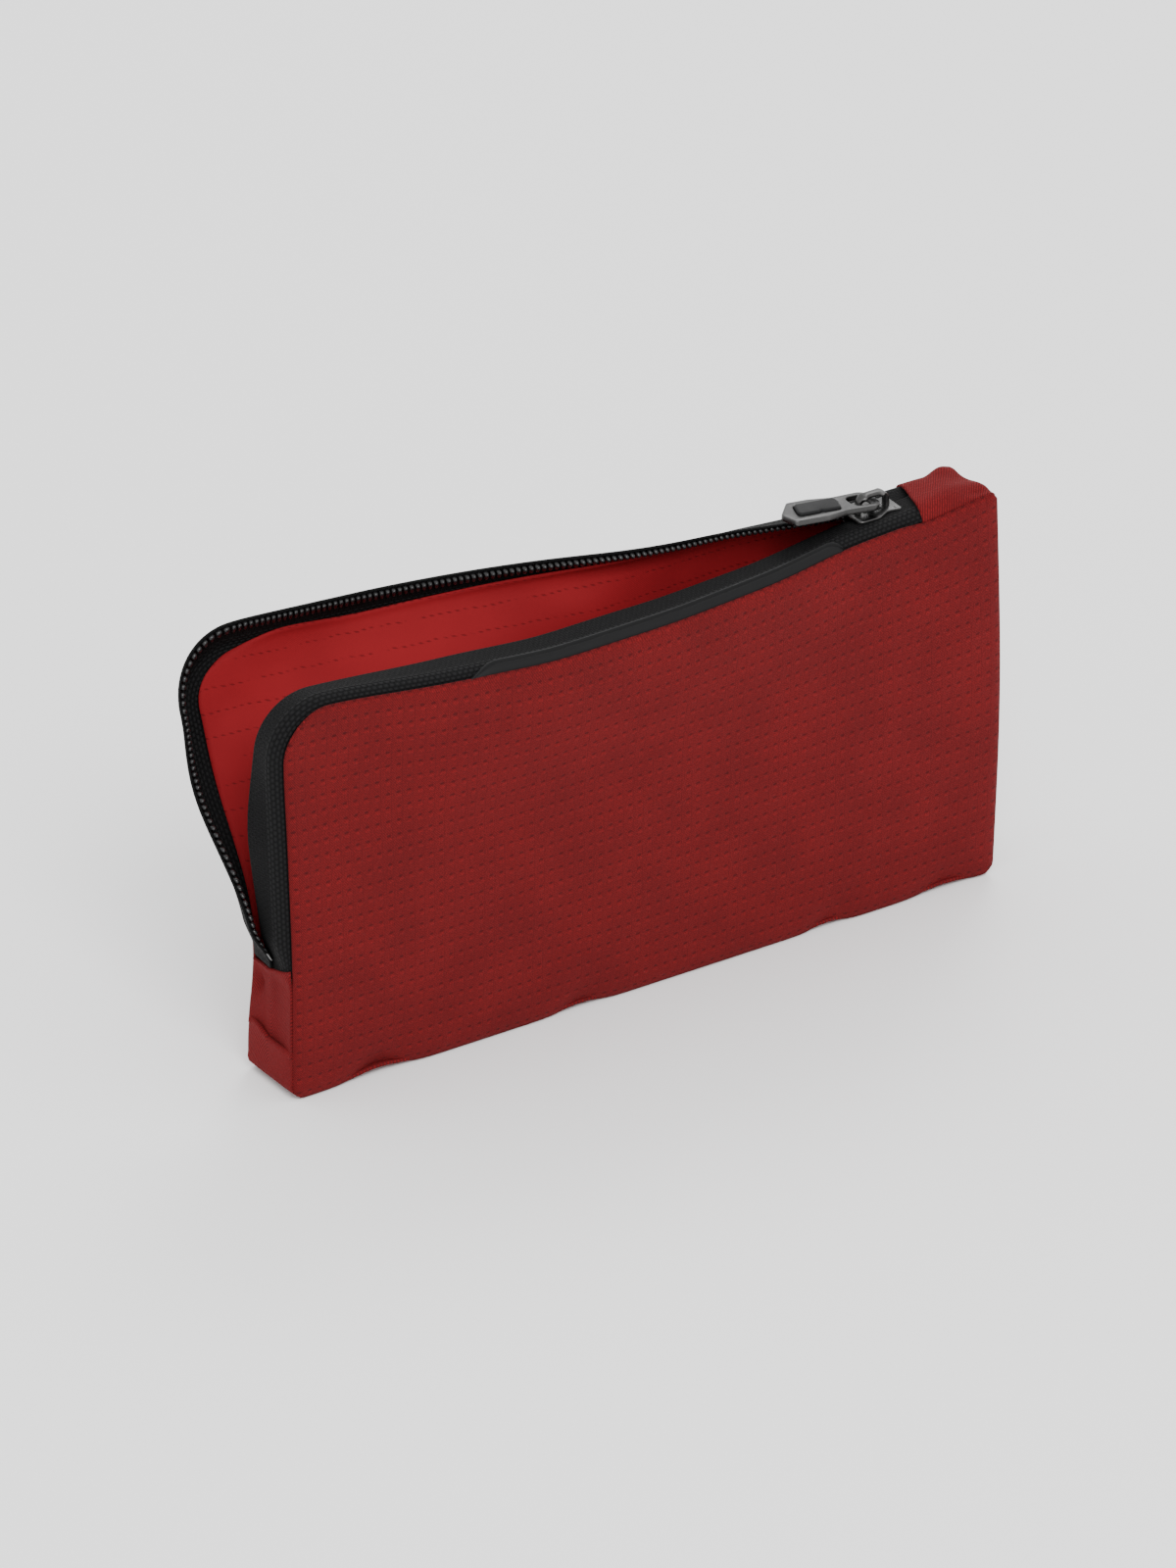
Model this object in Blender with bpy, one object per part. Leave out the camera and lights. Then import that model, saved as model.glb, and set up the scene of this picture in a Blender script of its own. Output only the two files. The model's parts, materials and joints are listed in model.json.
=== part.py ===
# First aid kit: a slim ripstop pouch that stands on its long bottom edge, with a coil zip that runs
# over the top and down the left side, and a small set of supplies inside.
# Frame: metres, +X along the length, -Y the front, +Z up, origin at the middle of the base.

from math import cos, pi, radians, sin, tan

import bmesh
import bpy
from mathutils import Matrix, Vector

# driving dimensions of the pouch
LENGTH = 0.200
DEPTH = 0.020
PANEL_HEIGHT = 0.099
SHEET = 0.0010
LINING = 0.0005
GAP = 0.0003
CORNER_SMALL = 0.002
CORNER_MOUTH = 0.012
ARC_STEP = radians(15)

# zip: the tapes rise from the panels' edges and meet over the middle plane
ZIP_RISE = 0.0028
TAPE = 0.0008
CHAIN_GAP = 0.00075
COIL_WIDTH = 0.0018
COIL_HEIGHT = 0.0015
ZIP_RIGHT_END = 0.080
ZIP_LOW_END = 0.034

# the part of the back that falls open turns about a slanting line in the back's outer face
FOLD_LOW = Vector((-0.100, 0.010, 0.021))
FOLD_HIGH = Vector((0.055, 0.010, 0.099))
FOLD_OPEN = radians(34)
FOLD_TAPE_START = 0.040
FIXED_TAPE_START = 0.0575

# slider and puller
SLIDER_MIDDLE = 0.0705
SLIDER_LENGTH = 0.013
SLIDER_WIDE = 0.0098
SLIDER_WAIST = 0.0062
SLIDER_END = 0.0078
SLIDER_PLATE = 0.0010
BRIDGE_WIDTH = 0.0022
PULLER_LENGTH = 0.028
PULLER_WIDTH = 0.010
PULLER_PLATE = 0.0015
PULLER_LIFT = radians(7)
PIVOT_RISE = 0.0034
BRIDGE_RISE = 0.0042

HALF = LENGTH / 2
FRONT = -DEPTH / 2
BACK = DEPTH / 2
ZIP_TOP = PANEL_HEIGHT + ZIP_RISE

COLOURS = {
    "ripstop": ((0.22, 0.012, 0.015), 0.75, 0.0),
    "lining": ((0.36, 0.022, 0.026), 0.55, 0.0),
    "tape_black": ((0.012, 0.012, 0.013), 0.85, 0.0),
    "coil_black": ((0.008, 0.008, 0.009), 0.30, 0.0),
    "label_rubber": ((0.014, 0.014, 0.015), 0.60, 0.0),
    "slider_metal": ((0.11, 0.105, 0.10), 0.28, 1.0),
    "spring_steel": ((0.45, 0.45, 0.46), 0.30, 1.0),
    "grip_rubber": ((0.016, 0.016, 0.017), 0.65, 0.0),
    "gauze": ((0.82, 0.80, 0.74), 0.90, 0.0),
    "paper": ((0.80, 0.80, 0.78), 0.70, 0.0),
    "foil": ((0.70, 0.71, 0.73), 0.25, 1.0),
    "plaster_card": ((0.72, 0.55, 0.38), 0.65, 0.0),
    "nitrile": ((0.10, 0.25, 0.55), 0.60, 0.0),
    "tool_steel": ((0.60, 0.60, 0.61), 0.25, 1.0),
}


def clear_scene():
    for obj in list(bpy.data.objects):
        bpy.data.objects.remove(obj, do_unlink=True)


def make_material(name):
    colour, roughness, metallic = COLOURS[name]
    material = bpy.data.materials.new(name)
    material.use_nodes = True
    shader = material.node_tree.nodes["Principled BSDF"]
    shader.inputs["Base Color"].default_value = (*colour, 1.0)
    shader.inputs["Roughness"].default_value = roughness
    shader.inputs["Metallic"].default_value = metallic
    return material


def add_object(name, mesh, slot, parent=None):
    obj = bpy.data.objects.new(name, mesh)
    bpy.context.collection.objects.link(obj)
    mesh.materials.append(bpy.data.materials.get(slot) or make_material(slot))
    obj.parent = parent
    return obj


def add_empty(name, matrix, parent=None):
    empty = bpy.data.objects.new(name, None)
    bpy.context.collection.objects.link(empty)
    empty.parent = parent
    empty.matrix_local = matrix
    return empty


def mesh_between(name, first, last, rings=()):
    # closed body through loops of points, capped at both ends
    loops = [first, *rings, last]
    count = len(first)
    body = bmesh.new()
    rows = [[body.verts.new(point) for point in loop] for loop in loops]
    for near, far in zip(rows, rows[1:]):
        for i in range(count):
            j = (i + 1) % count
            body.faces.new((near[i], near[j], far[j], far[i]))
    body.faces.new(rows[0][::-1])
    body.faces.new(rows[-1])
    bmesh.ops.recalc_face_normals(body, faces=body.faces)
    mesh = bpy.data.meshes.new(name)
    body.to_mesh(mesh)
    body.free()
    return mesh


def prism(name, outline, axis, low, high, slot, parent=None, origin=Vector((0, 0, 0))):
    # outline is (x, z) for a prism along Y, (x, y) along Z, and (y, z) along X
    place = {
        "X": lambda p, d: Vector((d, p[0], p[1])),
        "Y": lambda p, d: Vector((p[0], d, p[1])),
        "Z": lambda p, d: Vector((p[0], p[1], d)),
    }[axis]
    near = [place(point, low) - origin for point in outline]
    far = [place(point, high) - origin for point in outline]
    return add_object(name, mesh_between(name, near, far), slot, parent)


def rounded(corners):
    # corners are (x, y, radius) in order; each sharp corner becomes an arc
    points = []
    count = len(corners)
    for i, (x, y, radius) in enumerate(corners):
        here = Vector((x, y))
        before = (Vector(corners[i - 1][:2]) - here).normalized()
        after = (Vector(corners[(i + 1) % count][:2]) - here).normalized()
        if radius <= 0:
            points.append((x, y))
            continue
        half = before.angle(after) / 2
        middle = here + (before + after).normalized() * (radius / sin(half))
        reach = radius / tan(half)
        start = here + before * reach - middle
        end = here + after * reach - middle
        angle = pi - 2 * half
        turn = 1 if start.cross(end) > 0 else -1
        steps = max(1, round(angle / ARC_STEP))
        for k in range(steps + 1):
            spun = Matrix.Rotation(turn * angle * k / steps, 2) @ start
            points.append(tuple(middle + spun))
    return points


def panel_outline(inset=0.0, mouth=CORNER_MOUTH):
    return rounded([
        (-HALF + inset, inset, CORNER_SMALL),
        (HALF - inset, inset, CORNER_SMALL),
        (HALF - inset, PANEL_HEIGHT - inset, CORNER_SMALL),
        (-HALF + inset, PANEL_HEIGHT - inset, mouth - inset),
    ])


def clip_outline(outline, point, normal):
    # keeps the part of a convex outline on the side that normal points to
    kept = []
    for i, here in enumerate(outline):
        there = outline[(i + 1) % len(outline)]
        a = (Vector(here) - point).dot(normal)
        b = (Vector(there) - point).dot(normal)
        if a >= 0:
            kept.append(tuple(here))
        if a * b < 0:
            kept.append(tuple(Vector(here).lerp(Vector(there), a / (a - b))))
    return kept


def fold_axis():
    # turning forwards about this direction swings the mouth's corner out to the back
    return (FOLD_LOW - FOLD_HIGH).normalized()


def fold_halves(outline):
    low = Vector((FOLD_LOW.x, FOLD_LOW.z))
    along = (Vector((FOLD_HIGH.x, FOLD_HIGH.z)) - low).normalized()
    up_left = Vector((-along.y, along.x))
    flap = clip_outline(outline, low + up_left * GAP, up_left)
    fixed = clip_outline(outline, low - up_left * GAP, -up_left)
    return flap, fixed


def mouth_path(start_x, end_z):
    # (x, z, outward x, outward z) along the panels' edge: top, rounded corner, left side
    path = [(start_x, PANEL_HEIGHT, 0.0, 1.0)]
    centre_x = -HALF + CORNER_MOUTH
    centre_z = PANEL_HEIGHT - CORNER_MOUTH
    steps = 6
    for k in range(steps + 1):
        angle = pi / 2 * (1 + k / steps)
        out_x, out_z = cos(angle), sin(angle)
        path.append((centre_x + CORNER_MOUTH * out_x, centre_z + CORNER_MOUTH * out_z, out_x, out_z))
    path.append((-HALF, end_z, -1.0, 0.0))
    return path


def straight_path(start_x, end_x):
    return [(start_x, PANEL_HEIGHT, 0.0, 1.0), (end_x, PANEL_HEIGHT, 0.0, 1.0)]


def sweep(name, section, path, slot, parent=None, origin=Vector((0, 0, 0))):
    # section is (y, rise above the panel's edge)
    loops = []
    for x, z, out_x, out_z in path:
        loops.append([Vector((x + out_x * r, y, z + out_z * r)) - origin for y, r in section])
    return add_object(name, mesh_between(name, loops[0], loops[-1], loops[1:-1]), slot, parent)


def tape_section(side):
    # side is -1 for the front tape and 1 for the back one
    top = ZIP_RISE
    outer = [(0.0100, GAP), (0.0096, 0.0013), (0.0082, 0.0023), (0.0060, top - 0.0001), (CHAIN_GAP, top)]
    inner = [(CHAIN_GAP, top - TAPE), (0.0057, top - TAPE - 0.0001), (0.0076, 0.0014), (0.0088, 0.0007)]
    inner.append((0.0092, GAP))
    return [(side * y, r) for y, r in outer + inner]


def coil_section(side):
    top = ZIP_RISE - TAPE - GAP
    low = top - COIL_HEIGHT
    near, far = CHAIN_GAP, CHAIN_GAP + COIL_WIDTH
    return [(side * y, r) for y, r in ((near, top), (far, top), (far, low), (near, low))]


def build_shell():
    front_in = FRONT + SHEET
    back_in = BACK - SHEET
    prism("front_panel", panel_outline(), "Y", FRONT, front_in, "ripstop")
    flap, fixed = fold_halves(panel_outline())
    prism("back_panel", fixed, "Y", back_in, BACK, "ripstop")
    lining_inset = SHEET + GAP
    lining = panel_outline(lining_inset)
    prism("front_lining", lining, "Y", front_in + GAP, front_in + GAP + LINING, "lining")
    fixed_lining = fold_halves(lining)[1]
    prism("back_lining", fixed_lining, "Y", back_in - GAP - LINING, back_in - GAP, "lining")


def build_gussets():
    inner = DEPTH / 2 - SHEET - LINING - 3 * GAP
    turned_up = 0.011
    left_out = -HALF
    left_in = -HALF + SHEET
    foot = [(HALF - SHEET - GAP, 0.0), (HALF - SHEET - GAP, SHEET), (left_in, SHEET)]
    foot += [(left_in, turned_up), (left_out, turned_up), (left_out, 0.0)]
    prism("bottom_gusset", foot, "Y", -inner, inner, "ripstop")
    low, high = turned_up + GAP, ZIP_LOW_END
    side = [(left_out, low), (left_in, low), (left_in, high), (left_out, high)]
    prism("left_gusset", side, "Y", -inner, inner, "ripstop")
    right = [(HALF - SHEET, 0.0), (HALF, 0.0), (HALF, PANEL_HEIGHT), (HALF - SHEET, PANEL_HEIGHT)]
    prism("right_gusset", right, "Y", -inner, inner, "ripstop")
    build_end_cover()
    build_seam_bindings(inner)


def build_end_cover():
    # a crowned piece that closes the top between the zip's end and the right side
    half_width, crown_rise, hem = DEPTH / 2 - SHEET + GAP, 0.0026, 0.0012
    shoulder = half_width - hem
    crown = [(-half_width, GAP), (-shoulder, crown_rise * 0.6), (0.0, crown_rise)]
    crown += [(shoulder, crown_rise * 0.6), (half_width, GAP), (shoulder, GAP)]
    slope_foot, slope_rise = shoulder * 0.88, crown_rise * 0.27
    under = [(slope_foot, slope_rise), (0.0, crown_rise - SHEET), (-slope_foot, slope_rise)]
    end = straight_path(ZIP_RIGHT_END + 2 * GAP, HALF - CORNER_SMALL)
    sweep("zip_end_cover", crown + under + [(-shoulder, GAP)], end, "ripstop")


def build_seam_bindings(inner):
    # narrow tapes that cover the raw bottom seams on the inside
    binding_height = 0.009
    length = HALF - 0.006
    for name, side in (("seam_binding_front", -1), ("seam_binding_back", 1)):
        face = side * (inner - GAP)
        low, high = sorted((face, face - side * LINING))
        strip = [(-length, SHEET + GAP), (length, SHEET + GAP)]
        strip += [(length, binding_height), (-length, binding_height)]
        prism(name, strip, "Y", low, high, "tape_black")


def build_zip(fold):
    low_end = ZIP_LOW_END + GAP
    coil_low, coil_right = low_end + 0.003, ZIP_RIGHT_END - 0.002
    front = mouth_path(ZIP_RIGHT_END, low_end)
    sweep("zip_tape_front", tape_section(-1), front, "tape_black")
    sweep("zip_coil_front", coil_section(-1), mouth_path(coil_right, coil_low), "coil_black")
    fixed = straight_path(ZIP_RIGHT_END, FIXED_TAPE_START)
    sweep("zip_tape_back_end", tape_section(1), fixed, "tape_black")
    fixed_coil = straight_path(coil_right, FIXED_TAPE_START)
    sweep("zip_coil_back_end", coil_section(1), fixed_coil, "coil_black")
    moving = mouth_path(FOLD_TAPE_START, low_end)
    sweep("zip_tape_back", tape_section(1), moving, "tape_black", fold, FOLD_LOW)
    moving_coil = mouth_path(FOLD_TAPE_START, coil_low)
    sweep("zip_coil_back", coil_section(1), moving_coil, "coil_black", fold, FOLD_LOW)


def build_stops(fold):
    # small crimped blocks where the chain ends
    rise = ZIP_RISE - TAPE - GAP
    low = rise - 0.0016
    half_width = CHAIN_GAP + COIL_WIDTH - GAP
    stop = [(-half_width, rise), (half_width, rise), (half_width, low), (-half_width, low)]
    beside_coil = straight_path(ZIP_RIGHT_END - 0.0017, ZIP_RIGHT_END - 0.0002)
    sweep("zip_bottom_stop", stop, beside_coil, "slider_metal")
    top = [(-HALF, ZIP_LOW_END + 0.0030, -1.0, 0.0), (-HALF, ZIP_LOW_END + 0.0010, -1.0, 0.0)]
    sweep("zip_top_stop_front", coil_section(-1), top, "slider_metal")
    sweep("zip_top_stop_back", coil_section(1), top, "slider_metal", fold, FOLD_LOW)


def build_flap(fold):
    back_in = BACK - SHEET
    flap = fold_halves(panel_outline())[0]
    prism("back_flap_panel", flap, "Y", back_in, BACK, "ripstop", fold, FOLD_LOW)
    lining = fold_halves(panel_outline(SHEET + GAP))[0]
    lining_out = back_in - GAP
    prism("back_flap_lining", lining, "Y", lining_out - LINING, lining_out, "lining", fold, FOLD_LOW)


def build_label_strip():
    # a flat moulded strip that lies on the front tape, beside the fabric's edge
    half_length = 0.056
    slope = [(-0.0103, 0.0007), (-0.0098, 0.0017), (-0.0083, 0.0027)]
    outer = [(y - 0.0006, r + 0.0005) for y, r in slope]
    sweep("label_strip", slope + outer[::-1], straight_path(half_length, -half_length), "label_rubber")


def boolean_union(target, tools):
    for tool in tools:
        tool.hide_render = True
        tool.display_type = "WIRE"
        join = target.modifiers.new("join", "BOOLEAN")
        join.operation = "UNION"
        join.object = tool


def slider_outline():
    # wide shoulders at the left, where the two chains enter, then a waist and a square right end
    left, right = -SLIDER_LENGTH / 2, SLIDER_LENGTH / 2
    wide, waist, end = SLIDER_WIDE / 2, SLIDER_WAIST / 2, SLIDER_END / 2
    shoulder, shoulder_end, waist_at = 0.0016, left + 0.0058, left + 0.0092
    near_side = [
        (left, -wide + shoulder, 0.0008), (left + 0.0012, -wide, 0.0010), (shoulder_end, -wide, 0.0016),
        (waist_at, -waist, 0.0016), (right, -end, 0.0005),
    ]
    return rounded(near_side + [(x, -y, radius) for x, y, radius in near_side[::-1]])


def build_slider():
    seat = add_empty("slider_path", Matrix.Translation((SLIDER_MIDDLE, 0, ZIP_TOP)))
    top_low = GAP
    channel_low = -(TAPE + COIL_HEIGHT + 2 * GAP)
    sunk = SLIDER_PLATE / 2

    def casting(name, outline, low, high):
        return prism(name, outline, "Z", low, high, "slider_metal", seat)

    outline = slider_outline()
    body = casting("slider_body", outline, top_low, top_low + SLIDER_PLATE)
    lower = casting("slider_lower", outline, channel_low - SLIDER_PLATE, channel_low)
    post_left, post_right, post_half = -0.0057, -0.0020, 0.00045
    post = [(post_left, -post_half), (post_right, -post_half), (post_right, post_half), (post_left, post_half)]
    tools = [lower, casting("slider_column", post, channel_low - sunk, top_low + sunk)]
    rim_left, rim_right, rim_in, rim_out, rim_height = -0.0049, 0.0002, 0.0039, 0.0047, 0.0014
    for side in (-1, 1):
        rim = [(rim_left, rim_in), (rim_right, rim_in), (rim_right, rim_out), (rim_left, rim_out)]
        outline_rim = [(x, side * y) for x, y in rim][::side]
        tools.append(casting(f"slider_rim_{side}", outline_rim, channel_low - sunk, channel_low + rim_height))
    boolean_union(body, tools)
    build_bridge(seat, top_low + SLIDER_PLATE + GAP)
    return seat


def build_bridge(seat, foot):
    # an arch along the slider; the puller's eye turns under it
    reach, strap, outer_radius, inner_radius = 0.0047, 0.0012, 0.0020, 0.0010
    top, inside = foot + BRIDGE_RISE, reach - strap
    under = top - strap
    outer = rounded([(-reach, foot, 0), (-reach, top, outer_radius), (reach, top, outer_radius), (reach, foot, 0)])
    inner = rounded([
        (inside, foot, 0), (inside, under, inner_radius), (-inside, under, inner_radius), (-inside, foot, 0),
    ])
    prism("slider_bridge", outer + inner, "Y", -BRIDGE_WIDTH / 2, BRIDGE_WIDTH / 2, "slider_metal", seat)
    reach, low, high, half_width = 0.0026, foot + 0.0001, foot + 0.0004, 0.0007
    spring = [(-reach, low), (reach, low), (reach, high), (-reach, high)]
    prism("slider_lock_spring", spring, "Y", -half_width, half_width, "spring_steel", seat)


def puller_outline():
    # the eye is at the origin and the plate runs towards -X
    tip = -(PULLER_LENGTH - 0.0015)
    half = PULLER_WIDTH / 2
    eye_end, eye_half, waist_half, waist, wide_from = 0.0009, 0.0043, 0.0039, -0.0095, -0.0155
    return rounded([
        (eye_end, -eye_half, 0.0030), (eye_end, eye_half, 0.0030), (waist, waist_half, 0.0040),
        (wide_from, half, 0.0030), (tip + 0.0050, half, 0.0008), (tip, -0.0004, 0.0008),
        (tip + 0.0014, -half, 0.0008), (wide_from, -half, 0.0030), (waist, -waist_half, 0.0040),
    ])


def slot_outline(low, high, half, radius):
    return rounded([(low, -half, radius), (high, -half, radius), (high, half, radius), (low, half, radius)])


def grip_outline(inset):
    # a window with slanting ends
    low, high, half, slant, radius = -0.0230, -0.0088, 0.0027, 0.0020, 0.0010
    return rounded([
        (low + inset, -half + inset, radius), (high - slant - inset, -half + inset, radius),
        (high - inset, half - inset, radius), (low + slant + inset, half - inset, radius),
    ])


def build_puller(seat):
    pivot = Matrix.Translation((0, 0, PIVOT_RISE)) @ Matrix.Rotation(PULLER_LIFT, 4, "Y")
    hinge = add_empty("puller_hinge", pivot, seat)
    half = PULLER_PLATE / 2

    def piece(name, outline, reach, slot="slider_metal"):
        return prism(name, outline, "Z", -reach, reach, slot, hinge)

    plate = piece("puller_plate", puller_outline(), half)
    eye = piece("eye_cutter", slot_outline(-0.0066, -0.0007, 0.0026, 0.0018), PULLER_PLATE)
    window = piece("grip_cutter", grip_outline(0.0), PULLER_PLATE)
    for tool in (eye, window):
        tool.hide_render = True
        tool.display_type = "WIRE"
        cut = plate.modifiers.new("cut", "BOOLEAN")
        cut.operation = "DIFFERENCE"
        cut.object = tool
    piece("puller_grip", grip_outline(GAP), half + 0.0006, "grip_rubber")


def packet(name, x, y, z, slot, soften=0.0008):
    # x, y and z are (low, high); a flat packet with chamfered edges
    corners = [(x[0], z[0], soften), (x[1], z[0], soften), (x[1], z[1], soften), (x[0], z[1], soften)]
    return prism(name, rounded(corners), "Y", y[0], y[1], slot)


def roll(name, x, y, z, radius, slot):
    sides = 24
    angles = [2 * pi * k / sides for k in range(sides)]
    circle = [(y + radius * cos(angle), z + radius * sin(angle)) for angle in angles]
    return prism(name, circle, "X", x[0], x[1], slot)


def build_contents():
    floor = SHEET + GAP + 0.0002
    radius = 0.0063
    first = floor + radius
    roll("bandage_roll", (-0.095, -0.037), 0.0, first, radius, "gauze")
    roll("elastic_bandage_roll", (-0.095, -0.037), 0.0, first + 2 * radius + GAP, radius, "gauze")
    above = floor + 4 * radius + 2 * GAP
    roll("adhesive_tape_roll", (-0.095, -0.070), 0.0, above + radius, radius, "paper")
    packet("glove_packet", (-0.067, -0.037), (-0.006, 0.006), (above, above + 0.026), "nitrile")
    middle = (-0.034, 0.022)
    packet("plaster_packet", middle, (-0.0064, -0.0022), (floor, 0.060), "plaster_card")
    for k in range(3):
        near = -0.0018 + k * 0.0027
        packet(f"gauze_sachet_{k + 1}", middle, (near, near + 0.0023), (floor, 0.056), "paper")
    right = (0.026, 0.092)
    packet("foil_blanket_packet", right, (-0.0064, 0.0012), (floor, 0.060), "foil")
    for k in range(2):
        near = 0.0016 + k * 0.0026
        packet(f"wipe_sachet_{k + 1}", (0.028, 0.088), (near, near + 0.0022), (floor, 0.050), "paper")
    build_tweezers(0.060 + GAP)


def build_tweezers(rest):
    # two sprung arms joined at the right end, lying on the packets
    heel, tip, spread, stock = 0.052, -0.030, 0.0044, 0.0010
    outer = [(heel, -0.0014), (heel, 0.0014), (tip + 0.055, spread), (tip, 0.0016)]
    inner = [(tip, 0.0006), (tip + 0.055, spread - stock), (heel - 0.006, 0.0005)]
    mirrored = [(x, -y) for x, y in reversed(inner[:-1])]
    far_side = [(tip, -0.0016), (tip + 0.055, -spread)]
    outline = outer + inner + [(heel - 0.006, -0.0005)] + mirrored + far_side
    prism("tweezers", outline, "Z", rest, rest + 0.0045, "tool_steel")


def main():
    clear_scene()
    turn = Matrix.Rotation(FOLD_OPEN, 4, fold_axis())
    fold = add_empty("back_fold", Matrix.Translation(FOLD_LOW) @ turn)
    build_shell()
    build_gussets()
    build_zip(fold)
    build_stops(fold)
    build_flap(fold)
    build_label_strip()
    seat = build_slider()
    build_puller(seat)
    build_contents()


main()
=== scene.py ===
# First aid kit: cloth shells, zip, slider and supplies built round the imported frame.
# Lengths are in millimetres until a mesh is made.
import json
from math import cos, pi, radians, sin, tan

import bmesh
import bpy
import numpy as np
from mathutils import Matrix, Vector
from mathutils.geometry import tessellate_polygon


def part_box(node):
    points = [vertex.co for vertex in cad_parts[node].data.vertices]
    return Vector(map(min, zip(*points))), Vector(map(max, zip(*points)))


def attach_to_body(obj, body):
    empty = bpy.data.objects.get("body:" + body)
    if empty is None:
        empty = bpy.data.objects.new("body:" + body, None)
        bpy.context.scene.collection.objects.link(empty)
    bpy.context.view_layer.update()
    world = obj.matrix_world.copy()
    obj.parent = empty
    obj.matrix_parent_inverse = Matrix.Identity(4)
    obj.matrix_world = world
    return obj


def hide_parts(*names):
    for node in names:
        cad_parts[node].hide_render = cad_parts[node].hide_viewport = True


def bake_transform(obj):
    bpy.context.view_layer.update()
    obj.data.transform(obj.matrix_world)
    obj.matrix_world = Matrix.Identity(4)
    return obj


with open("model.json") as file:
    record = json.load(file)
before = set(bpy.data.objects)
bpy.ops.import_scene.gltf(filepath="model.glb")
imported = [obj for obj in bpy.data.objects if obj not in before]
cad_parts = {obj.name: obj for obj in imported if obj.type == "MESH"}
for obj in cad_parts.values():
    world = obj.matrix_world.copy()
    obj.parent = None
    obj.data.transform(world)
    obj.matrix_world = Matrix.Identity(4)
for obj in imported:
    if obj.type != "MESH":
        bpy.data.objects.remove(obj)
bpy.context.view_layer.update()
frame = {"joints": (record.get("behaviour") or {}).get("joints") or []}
mm = 0.001


def cadBox(node):
    low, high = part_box(node)
    return np.array(low) / mm, np.array(high) / mm


def jointNamed(name):
    return next(j for j in frame["joints"] if j["name"] == name)


frontLow, frontHigh = cadBox("front_panel")
tapeLow, tapeHigh = cadBox("zip_tape_front")
gussetLow, gussetHigh = cadBox("left_gusset")
backLow, backHigh = cadBox("back_panel")
foldJoint = jointNamed("back_lip_fold")
pouch = {
    "left": frontLow[0], "right": frontHigh[0], "top": frontHigh[2],
    "front": frontLow[1], "back": backHigh[1],
    "cornerRadius": 12.0, "zipTop": tapeHigh[2], "zipEnd": tapeHigh[0], "zipLow": gussetHigh[2],
    "seamHeight": gussetLow[2],
}
fold = {
    "point": np.array(foldJoint["pos_m"]) / mm,
    "axis": np.array(foldJoint["axis"], float) / np.linalg.norm(foldJoint["axis"]),
    "open": radians(-foldJoint["range_deg"][0]),
    "blendStart": -0.06, "blendEnd": 0.80,
}
print("frame loaded")


def smoothstep(t):
    t = np.clip(t, 0.0, 1.0)
    return t * t * (3 - 2 * t)


def bump(x, centre, width):
    return np.exp(-((x - centre) / width) ** 2)


def outward(points, faces):
    # turns all the faces round when a closed surface is inside out
    points = np.asarray(points, float)
    a, b, c = np.array([(f[0], f[i], f[i + 1]) for f in faces for i in range(1, len(f) - 1)]).T
    volume = np.sum(points[a] * np.cross(points[b], points[c]))
    return [list(map(int, f if volume > 0 else f[::-1])) for f in faces]


def makePiece(name, points, faces, material, cloth=None, sharp=None):
    mesh = bpy.data.meshes.new(name)
    mesh.from_pydata((np.asarray(points) * mm).tolist(), [], outward(points, faces))
    mesh.materials.append(material)
    if cloth is not None:
        flat = mesh.attributes.new("cloth", "FLOAT_VECTOR", "POINT")
        flat.data.foreach_set("vector", np.asarray(cloth, np.float32).ravel())
    mesh.shade_smooth()
    if sharp:
        mesh.set_sharp_from_angle(angle=radians(sharp))
    mesh.update()
    obj = bpy.data.objects.new(name, mesh)
    bpy.context.scene.collection.objects.link(obj)
    return obj


def gridNormals(grid):
    alongU = np.gradient(grid, axis=0)
    alongV = np.gradient(grid, axis=1)
    normal = np.cross(alongU, alongV)
    return normal / np.maximum(np.linalg.norm(normal, axis=2, keepdims=True), 1e-9)


def shellData(grid, thickness, cloth):
    # a closed sheet: the grid pushed half its thickness each way along its normals, joined at the rim
    nu, nv = grid.shape[:2]
    normal = gridNormals(grid)
    half = np.broadcast_to(np.asarray(thickness, float) / 2, (nu, nv))[..., None]
    top = (grid + normal * half).reshape(-1, 3)
    low = (grid - normal * half).reshape(-1, 3)
    points = np.vstack([top, low])
    index = np.arange(nu * nv).reshape(nu, nv)
    quads = np.stack([index[:-1, :-1], index[1:, :-1], index[1:, 1:], index[:-1, 1:]], -1).reshape(-1, 4)
    count = nu * nv
    faces = quads.tolist() + (quads[:, ::-1] + count).tolist()
    rim = list(index[:, 0]) + list(index[-1, 1:]) + list(index[-2::-1, -1]) + list(index[0, -2:0:-1])
    for a, b in zip(rim, rim[1:] + rim[:1]):
        faces.append([b, a, a + count, b + count])
    flat = cloth.reshape(-1, 3)
    return points, faces, np.vstack([flat, flat])


def shell(name, grid, thickness, material, cloth):
    points, faces, flat = shellData(grid, thickness, cloth)
    return makePiece(name, points, faces, material, flat)


def joinParts(parts):
    # several (points, faces) lists as one
    points, faces, start = [], [], 0
    for part, partFaces in parts:
        points.append(part)
        faces += [[i + start for i in face] for face in partFaces]
        start += len(part)
    return np.vstack(points), faces


def loftData(loops, capped=True):
    loops = [np.asarray(loop, float) for loop in loops]
    count = len(loops[0])
    faces = []
    for row in range(len(loops) - 1):
        for i in range(count):
            j = (i + 1) % count
            faces.append([row * count + i, row * count + j, (row + 1) * count + j, (row + 1) * count + i])
    if capped:
        faces.append(list(range(count))[::-1])
        faces.append([(len(loops) - 1) * count + i for i in range(count)])
    return np.vstack(loops), faces


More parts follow.
